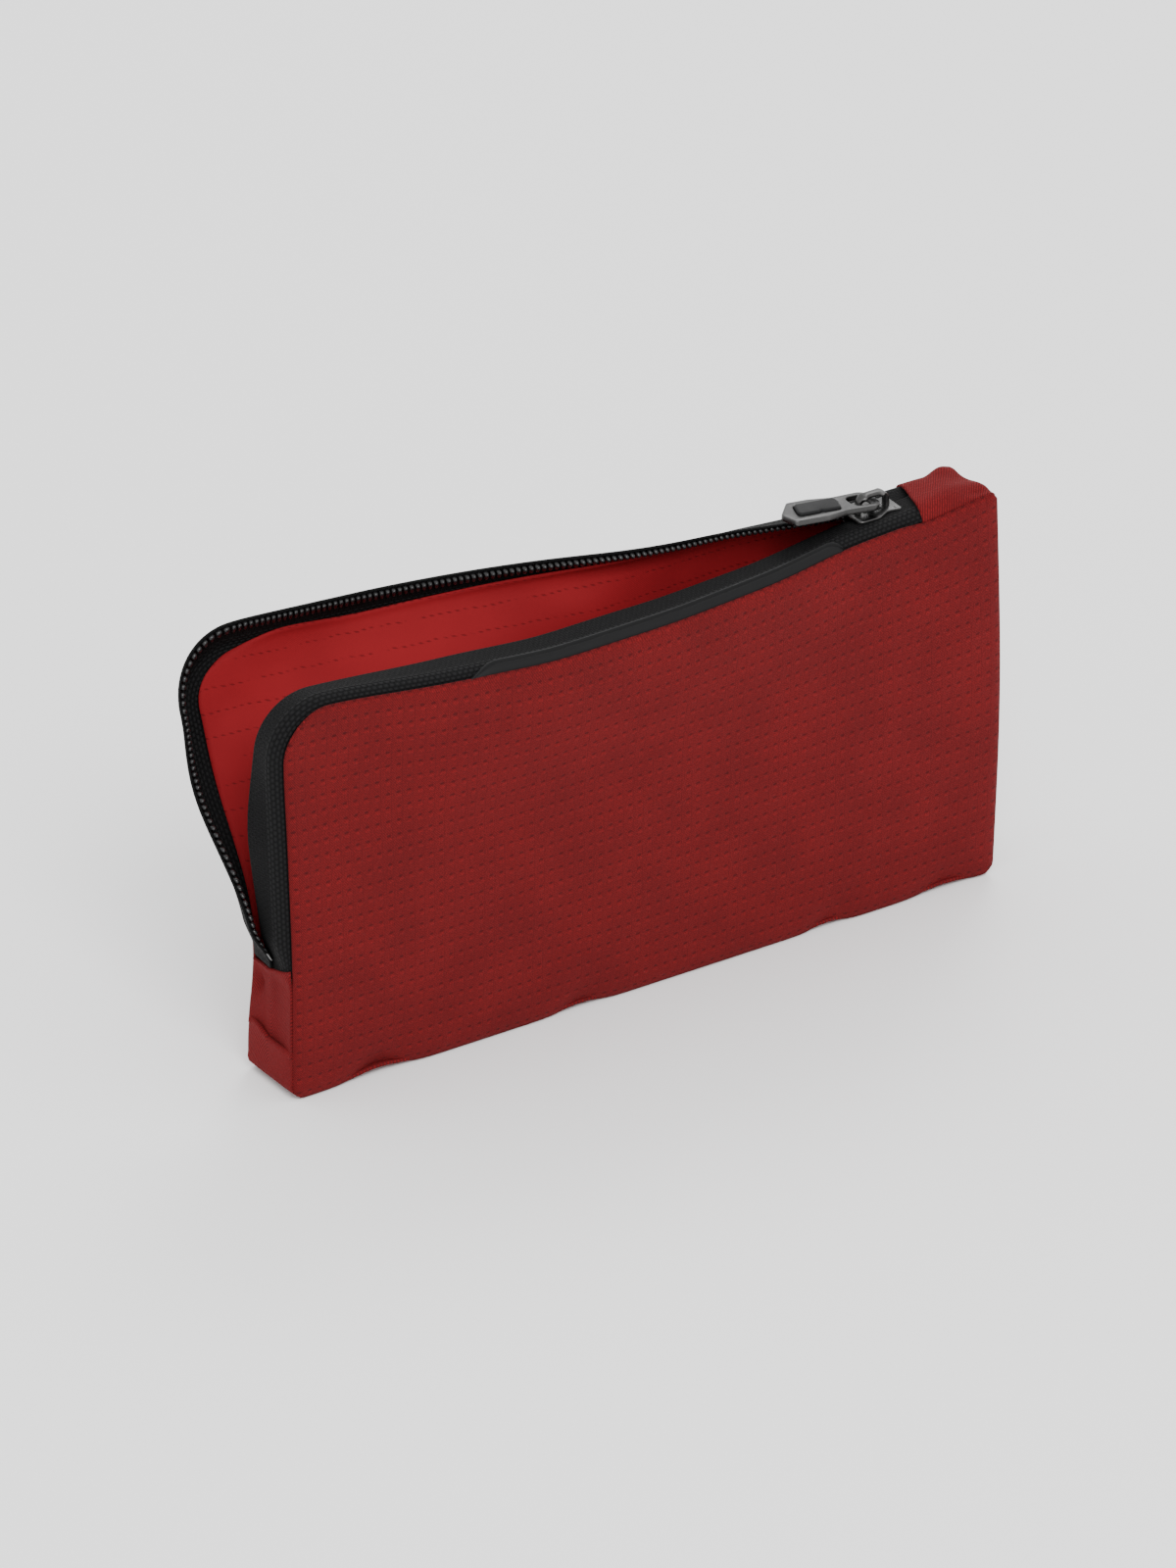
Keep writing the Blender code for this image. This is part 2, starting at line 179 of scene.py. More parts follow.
def arcCorners(corners, step=12.0):
    # corners are (x, y, radius); each becomes an arc
    points = []
    for i, (x, y, radius) in enumerate(corners):
        here = Vector((x, y))
        before = (Vector(corners[i - 1][:2]) - here).normalized()
        after = (Vector(corners[(i + 1) % len(corners)][:2]) - here).normalized()
        if radius <= 0:
            points.append((x, y))
            continue
        half = before.angle(after) / 2
        middle = here + (before + after).normalized() * (radius / sin(half))
        start = here + before * (radius / tan(half)) - middle
        end = here + after * (radius / tan(half)) - middle
        angle = pi - 2 * half
        turn = 1 if start.cross(end) > 0 else -1
        steps = max(2, round(angle / radians(step)))
        for k in range(steps + 1):
            points.append(tuple(middle + Matrix.Rotation(turn * angle * k / steps, 2) @ start))
    return np.array(points)


def insetOutline(outline, amount):
    before = outline - np.roll(outline, 1, axis=0)
    after = np.roll(outline, -1, axis=0) - outline
    before /= np.maximum(np.linalg.norm(before, axis=1, keepdims=True), 1e-9)
    after /= np.maximum(np.linalg.norm(after, axis=1, keepdims=True), 1e-9)
    inward = np.column_stack([-(before + after)[:, 1], (before + after)[:, 0]])
    inward /= np.maximum(np.linalg.norm(inward, axis=1, keepdims=True), 1e-9)
    return outline + inward * amount


class NodeKit:
    # short calls for building node trees
    def __init__(self, tree):
        self.tree = tree

    def add(self, kind, inputs=None, **settings):
        node = self.tree.nodes.new(kind)
        for key, value in settings.items():
            setattr(node, key, value)
        for key, value in (inputs or {}).items():
            if isinstance(value, bpy.types.NodeSocket):
                self.tree.links.new(value, node.inputs[key])
            else:
                node.inputs[key].default_value = value
        return node

    def math(self, operation, a, b=0.0):
        return self.add("ShaderNodeMath", {0: a, 1: b}, operation=operation).outputs[0]

    def times(self, a, b):
        return self.math("MULTIPLY", a, b)

    def plus(self, a, b):
        return self.math("ADD", a, b)

    def minus(self, a, b):
        return self.math("SUBTRACT", a, b)

    def over(self, a, b):
        return self.math("DIVIDE", a, b)

    def cell(self, value, shift=300.0):
        # where a value is within its whole step; the shift keeps it above zero
        return self.math("FRACT", self.plus(value, shift))

    def mixColour(self, share, a, b):
        return self.add("ShaderNodeMix", {0: share, 6: a, 7: b}, data_type="RGBA").outputs[2]

    def rampTo(self, value, low, high, outLow=0.0, outHigh=1.0):
        ramp = {"Value": value, 1: low, 2: high, 3: outLow, 4: outHigh}
        return self.add("ShaderNodeMapRange", ramp, interpolation_type="SMOOTHSTEP").outputs[0]

    def noise(self, vector, scale, detail=2.0, rough=0.5):
        settings = {"Vector": vector, "Scale": scale, "Detail": detail, "Roughness": rough}
        return self.add("ShaderNodeTexNoise", settings).outputs["Fac"]


def newGroup(name, inputs, outputs):
    group = bpy.data.node_groups.new(name, "ShaderNodeTree")
    for socket, kind, value in inputs:
        made = group.interface.new_socket(socket, in_out="INPUT", socket_type="NodeSocket" + kind)
        if value is not None:
            made.default_value = value
    for socket, kind in outputs:
        group.interface.new_socket(socket, in_out="OUTPUT", socket_type="NodeSocket" + kind)
    kit = NodeKit(group)
    return group, kit, kit.add("NodeGroupInput").outputs, kit.add("NodeGroupOutput").inputs


def makeDobbyWeave():
    # fine twill with a grid of small dark dents and brighter flecks just below them; the darkness of the
    # dents and of the twill's grooves is painted shade, the flecks and the lighter twill ridges are painted
    # highlight
    group, kit, source, sink = newGroup("dobbyWeave", [
        ("Cloth", "Vector", None), ("Thread", "Color", (0.2, 0.01, 0.01, 1)),
        ("Painted Highlight", "Color", (0.4, 0.02, 0.02, 1)), ("Shade", "Color", (0.08, 0.01, 0.01, 1)),
        ("Column", "Float", 2.78), ("Row", "Float", 3.6),
        ("Twill", "Float", 0.62), ("Dots", "Float", 1.0),
    ], [("Color", "Color"), ("Height", "Float")])
    parts = kit.add("ShaderNodeSeparateXYZ", {0: source["Cloth"]})
    x, z = parts.outputs[0], parts.outputs[1]
    wobble = kit.times(kit.noise(source["Cloth"], 0.35), 0.5)
    diagonal = kit.plus(kit.minus(kit.times(x, 1.35), z), wobble)
    wave = kit.math("SINE", kit.over(kit.times(diagonal, 2 * pi), source["Twill"]))
    twill = kit.plus(kit.times(wave, 0.5), 0.5)
    cellX = kit.cell(kit.over(x, source["Column"]), 500.0)
    cellZ = kit.cell(kit.over(z, source["Row"]), 500.0)
    offX = kit.times(kit.minus(cellX, 0.5), source["Column"])
    offZ = kit.times(kit.minus(cellZ, 0.5), source["Row"])
    dot = spot(kit, offX, offZ, 0.66, 0.36)
    # the painted highlight spot sits just below each dent
    paintedHighlight = spot(kit, kit.minus(offX, 0.15), kit.plus(offZ, 0.95), 0.85, 0.46)
    column = kit.rampTo(kit.math("ABSOLUTE", kit.minus(offX, 0.95)), 0.0, 0.16, 1.0, 0.0)
    grain = kit.rampTo(kit.noise(source["Cloth"], 2.6, 3.0, 0.7), 0.3, 0.72)
    light = kit.times(twill, grain)
    # twill ridges lightened towards the highlight colour as painted light, grooves darkened as painted shade
    colour = kit.mixColour(kit.times(light, 0.82), source["Thread"], source["Painted Highlight"])
    deep = kit.times(kit.minus(1.0, twill), 0.45)
    colour = kit.mixColour(deep, colour, source["Shade"])
    dots, spark = kit.times(dot, source["Dots"]), kit.times(kit.times(paintedHighlight, light), source["Dots"])
    # painted shade in each dent, then the painted highlight just below it
    colour = kit.mixColour(kit.times(dots, 0.55), colour, source["Shade"])
    colour = kit.mixColour(kit.times(spark, 0.9), colour, source["Painted Highlight"])
    colour = kit.mixColour(kit.times(kit.times(column, source["Dots"]), 0.26), colour, source["Shade"])
    height = kit.minus(kit.times(light, 0.6), dots)
    height = kit.plus(height, kit.times(paintedHighlight, 0.4))
    kit.tree.links.new(colour, sink["Color"])
    kit.tree.links.new(height, sink["Height"])
    return group


def spot(kit, a, b, halfA, halfB):
    # 1 inside an ellipse about the origin, fading out
    first = kit.math("POWER", kit.over(a, halfA), 2.0)
    second = kit.math("POWER", kit.over(b, halfB), 2.0)
    return kit.rampTo(kit.plus(first, second), 0.35, 1.1, 1.0, 0.0)


def makeKnit():
    # knitted cloth: ribs of small stitches, with rows of dark holes from one place across it on
    group, kit, source, sink = newGroup("knitRibs", [
        ("Cloth", "Vector", None), ("Stitch", "Float", 1.45), ("Rib", "Float", 0.95),
        ("Dark", "Color", (0.003, 0.003, 0.003, 1)), ("Light", "Color", (0.03, 0.03, 0.03, 1)),
        ("HoleRow", "Float", 5.0), ("HoleDepth", "Float", 0.92),
    ], [("Color", "Color"), ("Height", "Float")])
    parts = kit.add("ShaderNodeSeparateXYZ", {0: source["Cloth"]})
    along, across = parts.outputs[0], parts.outputs[1]
    rib = kit.over(across, source["Rib"])
    odd = kit.times(kit.math("FLOOR", rib), 0.5)
    step = kit.plus(kit.over(along, source["Stitch"]), odd)
    ribWave = kit.math("ABSOLUTE", kit.math("SINE", kit.times(rib, pi)))
    stitchWave = kit.math("ABSOLUTE", kit.math("SINE", kit.times(step, pi)))
    knot = kit.times(ribWave, stitchWave)
    hole = spot(kit, kit.minus(kit.cell(step), 0.5), kit.minus(kit.cell(rib), 0.5), 0.30, 0.34)
    hole = kit.times(hole, kit.rampTo(across, source["HoleRow"], kit.plus(source["HoleRow"], 0.6)))
    grain = kit.noise(source["Cloth"], 3.5, 3.0, 0.7)
    tone = kit.times(kit.plus(kit.times(knot, 0.8), 0.1), kit.plus(grain, 0.35))
    colour = kit.mixColour(tone, source["Dark"], source["Light"])
    colour = kit.mixColour(kit.times(hole, source["HoleDepth"]), colour, source["Dark"])
    relief = kit.plus(knot, kit.times(grain, 0.3))
    height = kit.minus(relief, kit.times(hole, 1.4))
    kit.tree.links.new(colour, sink["Color"])
    kit.tree.links.new(height, sink["Height"])
    return group


def makeWearAndHighlight():
    # cloudy variation plus brighter edges where the surface is convex, partly real wear and partly painted
    # highlight
    group, kit, source, sink = newGroup("edgeWearAndHighlight", [
        ("Spread", "Float", 0.25), ("Grain Scale", "Float", 900.0),
        ("Base", "Color", (0.1, 0.1, 0.1, 1)), ("Edge Wear And Highlight", "Color", (0.4, 0.4, 0.4, 1)),
        ("Roughness", "Float", 0.3),
    ], [("Color", "Color"), ("Roughness", "Float"), ("Height", "Float")])
    place = kit.add("ShaderNodeTexCoord").outputs["Object"]
    convex = kit.add("ShaderNodeNewGeometry").outputs["Pointiness"]
    grain = kit.noise(place, source["Grain Scale"], 4.0, 0.6)
    cloud = kit.noise(place, 160.0, 3.0, 0.5)
    cloudy = kit.minus(cloud, 0.5)
    edge = kit.rampTo(kit.plus(convex, kit.times(cloudy, 0.05)), 0.515, 0.60)
    colour = kit.mixColour(kit.times(grain, source["Spread"]), source["Base"], source["Edge Wear And Highlight"])
    # convex edges brightened: partly real wear, partly painted highlight
    colour = kit.mixColour(kit.times(edge, 0.7), colour, source["Edge Wear And Highlight"])
    rough = kit.plus(source["Roughness"], kit.times(cloudy, 0.25))
    kit.tree.links.new(colour, sink["Color"])
    kit.tree.links.new(rough, sink["Roughness"])
    kit.tree.links.new(grain, sink["Height"])
    return group


def emptyMaterial(name, shaderSettings):
    material = bpy.data.materials.new(name)
    material.use_nodes = True
    kit = NodeKit(material.node_tree)
    shader = material.node_tree.nodes["Principled BSDF"]
    for key, value in shaderSettings.items():
        shader.inputs[key].default_value = value
    return material, kit, shader


def addBump(kit, shader, height, strength, distance):
    settings = {"Height": height, "Strength": strength, "Distance": distance}
    bumped = kit.add("ShaderNodeBump", settings).outputs["Normal"]
    kit.tree.links.new(bumped, shader.inputs["Normal"])


def clothCoords(kit):
    return kit.add("ShaderNodeAttribute", attribute_name="cloth", attribute_type="GEOMETRY").outputs["Vector"]


dobbyWeave, knitRibs, edgeWearAndHighlight = makeDobbyWeave(), makeKnit(), makeWearAndHighlight()


def useGroup(kit, group, inputs):
    return kit.add("ShaderNodeGroup", inputs, node_tree=group).outputs


def ripstopMaterial(name, look):
    material, kit, shader = emptyMaterial(name, {
        "Roughness": look["roughness"], "Sheen Weight": look["sheen"], "Sheen Roughness": 0.5,
        "Sheen Tint": (1.0, 0.12, 0.12, 1.0), "Specular IOR Level": 0.08,
    })
    cloth = clothCoords(kit)
    weave = useGroup(kit, dobbyWeave, {
        "Cloth": cloth, "Thread": look["thread"], "Painted Highlight": look["paintedHighlight"], "Shade": look["shade"],
        "Dots": look["dots"], "Twill": look["twill"],
    })
    cloud = kit.noise(cloth, 0.06, 3.0, 0.55)
    tone = kit.mixColour(kit.rampTo(cloud, 0.3, 0.7, 0.0, 0.20), weave["Color"], look["shade"])
    kit.tree.links.new(tone, shader.inputs["Base Color"])
    addBump(kit, shader, weave["Height"], look["bump"], 0.0004)
    return material


# thread is the cloth's colour; the brighter colour after it is a painted highlight, and shade is also painted
# shade in the weave's dents and grooves
ripstopLook = {
    "thread": (0.094, 0.0066, 0.0076, 1), "paintedHighlight": (0.27, 0.0125, 0.0145, 1),
    "shade": (0.025, 0.0034, 0.0042, 1),
    "roughness": 0.85, "sheen": 0.08, "dots": 1.0, "twill": 0.62, "bump": 0.55,
}
gussetLook = dict(ripstopLook, dots=0.12, twill=0.95)
liningLook = {
    "tone": (0.190, 0.0080, 0.0112, 1), "line": (0.080, 0.0044, 0.0060, 1),
    "light": (0.225, 0.0100, 0.0135, 1),
    "roughness": 0.72, "row": 5.6,
}


def liningMaterial(name, look):
    # smooth coated nylon with faint ripstop rows
    material, kit, shader = emptyMaterial(name, {"Roughness": look["roughness"], "Specular IOR Level": 0.08})
    cloth = clothCoords(kit)
    parts = kit.add("ShaderNodeSeparateXYZ", {0: cloth})
    x, z = parts.outputs[0], parts.outputs[1]
    drift = kit.times(kit.noise(cloth, 0.12, 2.0), 1.6)
    row = kit.cell(kit.over(kit.plus(z, drift), look["row"]))
    rowLine = kit.rampTo(kit.math("ABSOLUTE", kit.minus(row, 0.5)), 0.0, 0.07, 1.0, 0.0)
    slant = kit.times(kit.plus(x, kit.times(z, 1.4)), 3.1)
    dash = kit.rampTo(kit.math("SINE", slant), -0.2, 0.7)
    broken = kit.rampTo(kit.noise(cloth, 0.22, 2.0), 0.34, 0.5)
    mark = kit.times(kit.times(rowLine, dash), broken)
    threads = kit.math("SINE", kit.times(kit.plus(x, z), 11.0))
    grain = kit.noise(cloth, 5.0, 2.0, 0.6)
    colour = kit.mixColour(kit.rampTo(kit.noise(cloth, 0.035, 2.0), 0.3, 0.7), look["tone"], look["light"])
    colour = kit.mixColour(kit.times(mark, 0.75), colour, look["line"])
    kit.tree.links.new(colour, shader.inputs["Base Color"])
    height = kit.plus(kit.times(mark, -0.8), kit.times(threads, 0.06))
    addBump(kit, shader, kit.plus(height, kit.times(grain, 0.15)), 0.35, 0.0002)
    return material


def tapeMaterial(name, look):
    # knitted or woven cloth from the knit group
    shaderSettings = {"Roughness": look["roughness"], "Specular IOR Level": look["specular"]}
    material, kit, shader = emptyMaterial(name, shaderSettings)
    knit = useGroup(kit, knitRibs, {
        "Cloth": clothCoords(kit), "Dark": look["dark"], "Light": look["light"], "HoleRow": look["holeRow"],
        "HoleDepth": look["holeDepth"], "Stitch": look["stitch"], "Rib": look["rib"],
    })
    kit.tree.links.new(knit["Color"], shader.inputs["Base Color"])
    addBump(kit, shader, knit["Height"], look["bump"], 0.0003)
    return material


def wornAndHighlitMaterial(name, look):
    # metal, rubber or plastic from the group of edge wear and painted highlight
    shaderSettings = {"Metallic": look.get("metal", 0.0), "Specular IOR Level": look.get("specular", 0.5)}
    shaderSettings["Coat Weight"] = look.get("coat", 0.0)
    material, kit, shader = emptyMaterial(name, shaderSettings)
    wear = useGroup(kit, edgeWearAndHighlight, {
        "Base": look["base"], "Edge Wear And Highlight": look["edge"], "Roughness": look["roughness"],
        "Spread": look["spread"], "Grain Scale": look["grain"],
    })
    kit.tree.links.new(wear["Color"], shader.inputs["Base Color"])
    kit.tree.links.new(wear["Roughness"], shader.inputs["Roughness"])
    addBump(kit, shader, wear["Height"], look["bump"], 0.0001)
    return material


knitLook = {
    "dark": (0.0006, 0.0006, 0.0007, 1), "light": (0.0125, 0.0125, 0.013, 1),
    "roughness": 0.75, "specular": 0.10, "holeRow": 4.6, "holeDepth": 0.95,
    "stitch": 1.45, "rib": 0.95, "bump": 0.9,
}
gauzeLook = {
    "dark": (0.42, 0.40, 0.35, 1), "light": (0.86, 0.84, 0.78, 1), "roughness": 0.9, "specular": 0.1,
    "holeRow": -900.0, "holeDepth": 0.8, "stitch": 0.9, "rib": 0.9, "bump": 0.8,
}
crepeLook = dict(gauzeLook, dark=(0.36, 0.26, 0.17, 1), light=(0.70, 0.56, 0.40, 1),
                 rib=0.6, stitch=1.3, holeRow=900.0)
# each edge colour brightens convex edges: partly real wear, partly painted highlight
wornAndHighlitLooks = {
    "nylon": {"base": (0.0028, 0.0028, 0.003, 1), "edge": (0.012, 0.012, 0.0125, 1),
              "roughness": 0.3, "spread": 0.3, "grain": 1500.0, "bump": 0.1, "coat": 0.12, "specular": 0.35},
    "label": {"base": (0.0032, 0.0032, 0.0034, 1), "edge": (0.0085, 0.0085, 0.009, 1),
              "roughness": 0.52, "spread": 0.25, "grain": 2500.0, "bump": 0.25, "specular": 0.14},
    "grip": {"base": (0.0042, 0.0042, 0.0045, 1), "edge": (0.012, 0.012, 0.0125, 1),
             "roughness": 0.6, "spread": 0.35, "grain": 3000.0, "bump": 0.4, "specular": 0.16},
    "nickel": {"base": (0.034, 0.0335, 0.0335, 1), "edge": (0.21, 0.207, 0.205, 1),
               "roughness": 0.36, "spread": 0.2, "grain": 2200.0, "bump": 0.3, "metal": 1.0},
    "spring": {"base": (0.14, 0.14, 0.145, 1), "edge": (0.45, 0.45, 0.45, 1),
               "roughness": 0.3, "spread": 0.2, "grain": 1500.0, "bump": 0.1, "metal": 1.0},
    "paper": {"base": (0.6, 0.6, 0.58, 1), "edge": (0.78, 0.78, 0.77, 1),
              "roughness": 0.7, "spread": 0.5, "grain": 700.0, "bump": 0.3, "specular": 0.3},
    "foil": {"base": (0.42, 0.43, 0.45, 1), "edge": (0.8, 0.81, 0.83, 1),
             "roughness": 0.26, "spread": 0.4, "grain": 260.0, "bump": 0.6, "metal": 1.0},
    "card": {"base": (0.4, 0.25, 0.14, 1), "edge": (0.6, 0.44, 0.3, 1),
             "roughness": 0.7, "spread": 0.5, "grain": 1200.0, "bump": 0.3, "specular": 0.3},
    "nitrile": {"base": (0.04, 0.11, 0.29, 1), "edge": (0.1, 0.22, 0.46, 1),
                "roughness": 0.5, "spread": 0.4, "grain": 900.0, "bump": 0.3, "specular": 0.35},
    "steel": {"base": (0.26, 0.26, 0.27, 1), "edge": (0.6, 0.6, 0.61, 1),
              "roughness": 0.26, "spread": 0.25, "grain": 1600.0, "bump": 0.15, "metal": 1.0},
}
finishes = {
    "ripstop": ripstopMaterial("ripstopOuter", ripstopLook),
    "gusset": ripstopMaterial("ripstopGusset", gussetLook),
    "lining": liningMaterial("coatedLining", liningLook), "tape": tapeMaterial("knittedTape", knitLook),
    "gauze": tapeMaterial("openGauze", gauzeLook), "crepe": tapeMaterial("stretchCrepe", crepeLook),
}
finishes.update({name: wornAndHighlitMaterial(name + "Finish", look) for name, look in wornAndHighlitLooks.items()})
print("materials ready")


# how the cloth hangs while the mouth is open, by distance along the zip from its right end
hang = {
    "knots": [-20, 0, 22, 45, 75, 110, 140, 165, 187, 205, 237, 264],
    "frontForward": [0, -1.1, 0.1, 3.9, 5.8, 6.0, 3.2, -1.0, -3.0, -1.5, 0.3, 0],
    "frontDown": [-4.6, -1.0, -0.7, 0.2, 1.0, 1.2, -0.3, -1.5, -1.4, -0.5, 0, 0],
    "backForward": [0, 0.1, -0.7, -3.4, -0.4, 0.3, 2.0, 6.2, 4.8, 1.4, 4.2, 0],
    "fan": 45.0, "softness": 7.0,
}
tapeShape = {
    "width": 10.5, "bendRadius": {-1: 2.6, 1: 3.0}, "knots": [0, 25, 50, 90, 130, 168, 187, 205, 237],
    "roll": {-1: [96, 101, 97, 90, 90, 104, 98, 66, 98], 1: [98, 74, 62, 57, 54, 54, 80, 64, 72]},
    "liningKnots": [0, 58, 95, 136, 156, 172, 190, 210, 237],
    "liningGap": {-1: [4, 5, 5, 5, 5, 5, 5, 5, 5], 1: [2.8, 4.7, 5.3, 7.2, 5.6, 11.6, 12.8, 12.0, 10.2]},
}
cornerRun = pouch["zipEnd"] - pouch["left"] - pouch["cornerRadius"]
cornerArc = pouch["cornerRadius"] * pi / 2
edgeLength = cornerRun + cornerArc + pouch["top"] - pouch["cornerRadius"] - pouch["zipLow"]


def softTable(value, knots, values, softness):
    # a table of straight runs with its corners smoothed
    value = np.asarray(value, float)
    offsets = np.linspace(-1.5, 1.5, 7)
    weights = np.exp(-offsets ** 2)
    total = sum(w * np.interp(value + o * softness, knots, values) for o, w in zip(offsets, weights))
    return total / weights.sum()


def edgeArc(x, z):
    # which point of the mouth a panel point hangs from, and how strongly; the panel is still square here
    fan = hang["fan"]
    fanX, fanZ = pouch["left"] + fan, pouch["top"] - fan
    dx, dz = np.clip(fanX - x, 0, None), np.clip(z - fanZ, 0, None)
    reach = np.maximum(dx, dz) / fan
    safe = np.maximum(reach, 1e-6)
    atX = np.where(dx > 0, fanX - dx / safe, x)
    atZ = np.where(dz > 0, fanZ + dz / safe, z)
    square = pouch["zipEnd"] - np.maximum(atX, pouch["left"]) + pouch["top"] - np.minimum(atZ, pouch["top"])
    side = 2 * pouch["cornerRadius"]
    past = np.clip(square - cornerRun, 0, side)
    beyond = np.maximum(square - cornerRun - side, 0)
    arc = np.where(square < cornerRun, square, cornerRun + past * cornerArc / side + beyond)
    return arc, smoothstep(reach)


def hangAt(key, arc):
    return softTable(arc, hang["knots"], hang[key], hang["softness"])


def settle(side, points, arc, weight=1.0):
    # the front hangs forwards; the back hangs from the fold
    p = np.array(points, float)
    if side < 0:
        p[..., 1] -= hangAt("frontForward", arc) * weight
        p[..., 2] -= hangAt("frontDown", arc) * weight
        return p
    p[..., 1] -= hangAt("backForward", arc) * weight
    return foldOpen(p)


def foldOpen(points):
    # turns each closed point about the fold so that the blended piece closes exactly
    flat = np.array(points, float).reshape(-1, 3)
    start, end = blendPoints()
    line = end - start
    rest = flat.copy()
    for _ in range(40):
        share = smoothstep((rest - start) @ line / (line @ line))
        rest = 0.5 * rest + 0.5 * turned(flat, fold["point"], fold["axis"], fold["open"] * share)
    return rest.reshape(np.shape(points))


def turned(points, origin, axis, angles):
    offset = points - origin
    c, s = np.cos(angles)[:, None], np.sin(angles)[:, None]
    return origin + offset * c + np.cross(axis, offset) * s + np.outer(offset @ axis, axis) * (1 - c)


def blendPoints():
    # from the fold line to near the opened corner
    origin, axis = fold["point"], fold["axis"]
    corner = np.array([pouch["left"], pouch["back"], pouch["top"]])
    opened = turned(corner[None], origin, axis, np.array([fold["open"]]))[0]
    line = opened - origin
    line = line - axis * (line @ axis)
    return origin + line * fold["blendStart"], origin + line * fold["blendEnd"]


def attach(piece, body, slot, *nodes):
    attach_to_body(piece, body)
    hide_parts(*nodes)


def dress(piece, side, slot, *nodes):
    # front pieces stay with the pouch, back ones keep the open shape they were given and have their transform
    # baked in
    if side < 0:
        attach(piece, "pouch", slot, *nodes)
        return
    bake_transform(piece)
    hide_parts(*nodes)


def edgePath(arc):
    # point and outward direction on the panels' edge, by distance from the zip's right end
    arc = np.asarray(arc, float)
    radius = pouch["cornerRadius"]
    turn = np.clip((arc - cornerRun) / radius, 0, pi / 2)
    outX, outZ = -np.sin(turn), np.cos(turn)
    x = np.where(arc < cornerRun, pouch["zipEnd"] - arc, pouch["left"] + radius + radius * outX)
    z = pouch["top"] - radius + radius * outZ - np.maximum(arc - cornerRun - cornerArc, 0)
    return x, z, outX, outZ


def tapeBand(side, arc, across, lift=0.0):
    # closed position of points on the tape; across runs from the cloth's edge to the chain
    arc, across, lift = (v.astype(float) for v in np.broadcast_arrays(arc, across, lift))
    roll = np.radians(softTable(arc, tapeShape["knots"], tapeShape["roll"][side], 6.0))
    radius = tapeShape["bendRadius"][side]
    angle = np.clip(across, 0, radius * roll) / radius
    beyond = np.maximum(across - radius * roll, 0)
    inward = radius * (1 - np.cos(angle)) + beyond * np.sin(angle) + lift * np.cos(angle)
    outward = np.minimum(across, 0) + radius * np.sin(angle) + beyond * np.cos(angle) - lift * np.sin(angle)
    outward = outward * (0.25 + 0.75 * smoothstep((edgeLength + 1 - arc) / 9))
    x, z, outX, outZ = edgePath(arc)
    y = side * (pouch["back"] - 1.05 - inward)
    return np.stack([x + outX * outward, y, z + outZ * outward], -1)


panelLook = {"cell": 1.5, "puff": {-1: 2.2, 1: 2.0}, "thickness": 0.8, "wrinkle": 0.34, "smallCorner": 3.0}


def roundCorners(x, z):
    # bends the square grid's corners round; the zip's corner is the widest
    newX, newZ = np.array(x, float), np.array(z, float)
    small = panelLook["smallCorner"]
    corners = [(pouch["left"], pouch["top"], pouch["cornerRadius"]), (pouch["left"], 0.0, small),
               (pouch["right"], 0.0, small), (pouch["right"], pouch["top"], small * 0.7)]
    for cornerX, cornerZ, radius in corners:
        signX, signZ = (1 if cornerX > 0 else -1), (1 if cornerZ > 0 else -1)
        centreX, centreZ = cornerX - signX * radius, cornerZ - signZ * radius
        a = np.clip((x - centreX) * signX / radius, 0, 1)
        b = np.clip((z - centreZ) * signZ / radius, 0, 1)
        inside = (a > 0) & (b > 0)
        newX = np.where(inside, centreX + signX * radius * a * np.sqrt(1 - b * b / 2), newX)
        newZ = np.where(inside, centreZ + signZ * radius * b * np.sqrt(1 - a * a / 2), newZ)
    return newX, newZ


def crease(x, z, seed):
    # soft cloth relief from a few slanting waves
    rng = np.random.default_rng(seed)
    total = np.zeros_like(x)
    for _ in range(7):
        angle, phase, length = rng.uniform(0, pi), rng.uniform(0, 2 * pi), rng.uniform(22, 60)
        run = x * cos(angle) + z * sin(angle)
        total += np.sin(2 * pi * run / length + phase + 0.8 * np.sin(2 * pi * (x - z) / 90 + phase)) / 7
    return total


def squareGrid(inset):
    nx = round((pouch["right"] - pouch["left"] - 2 * inset) / panelLook["cell"])
    nz = round((pouch["top"] - 2 * inset) / panelLook["cell"])
    return np.meshgrid(np.linspace(pouch["left"] + inset, pouch["right"] - inset, nx + 1),
                       np.linspace(inset, pouch["top"] - inset, nz + 1), indexing="ij")


def edgeFade(x, z, width):
    gap = np.minimum(np.minimum(x - pouch["left"], pouch["right"] - x), np.minimum(z, pouch["top"] - z))
    return smoothstep(gap / width)


# along the bottom seam: place, width, depth
seamPuckers = [(-76.0, 7.5, 2.3), (-19.0, 6.0, 1.4), (52.0, 5.0, 1.3), (86.0, 7.0, 1.4)]


def puckerDepth(x):
    return sum(depth * bump(x, at, width) for at, width, depth in seamPuckers)


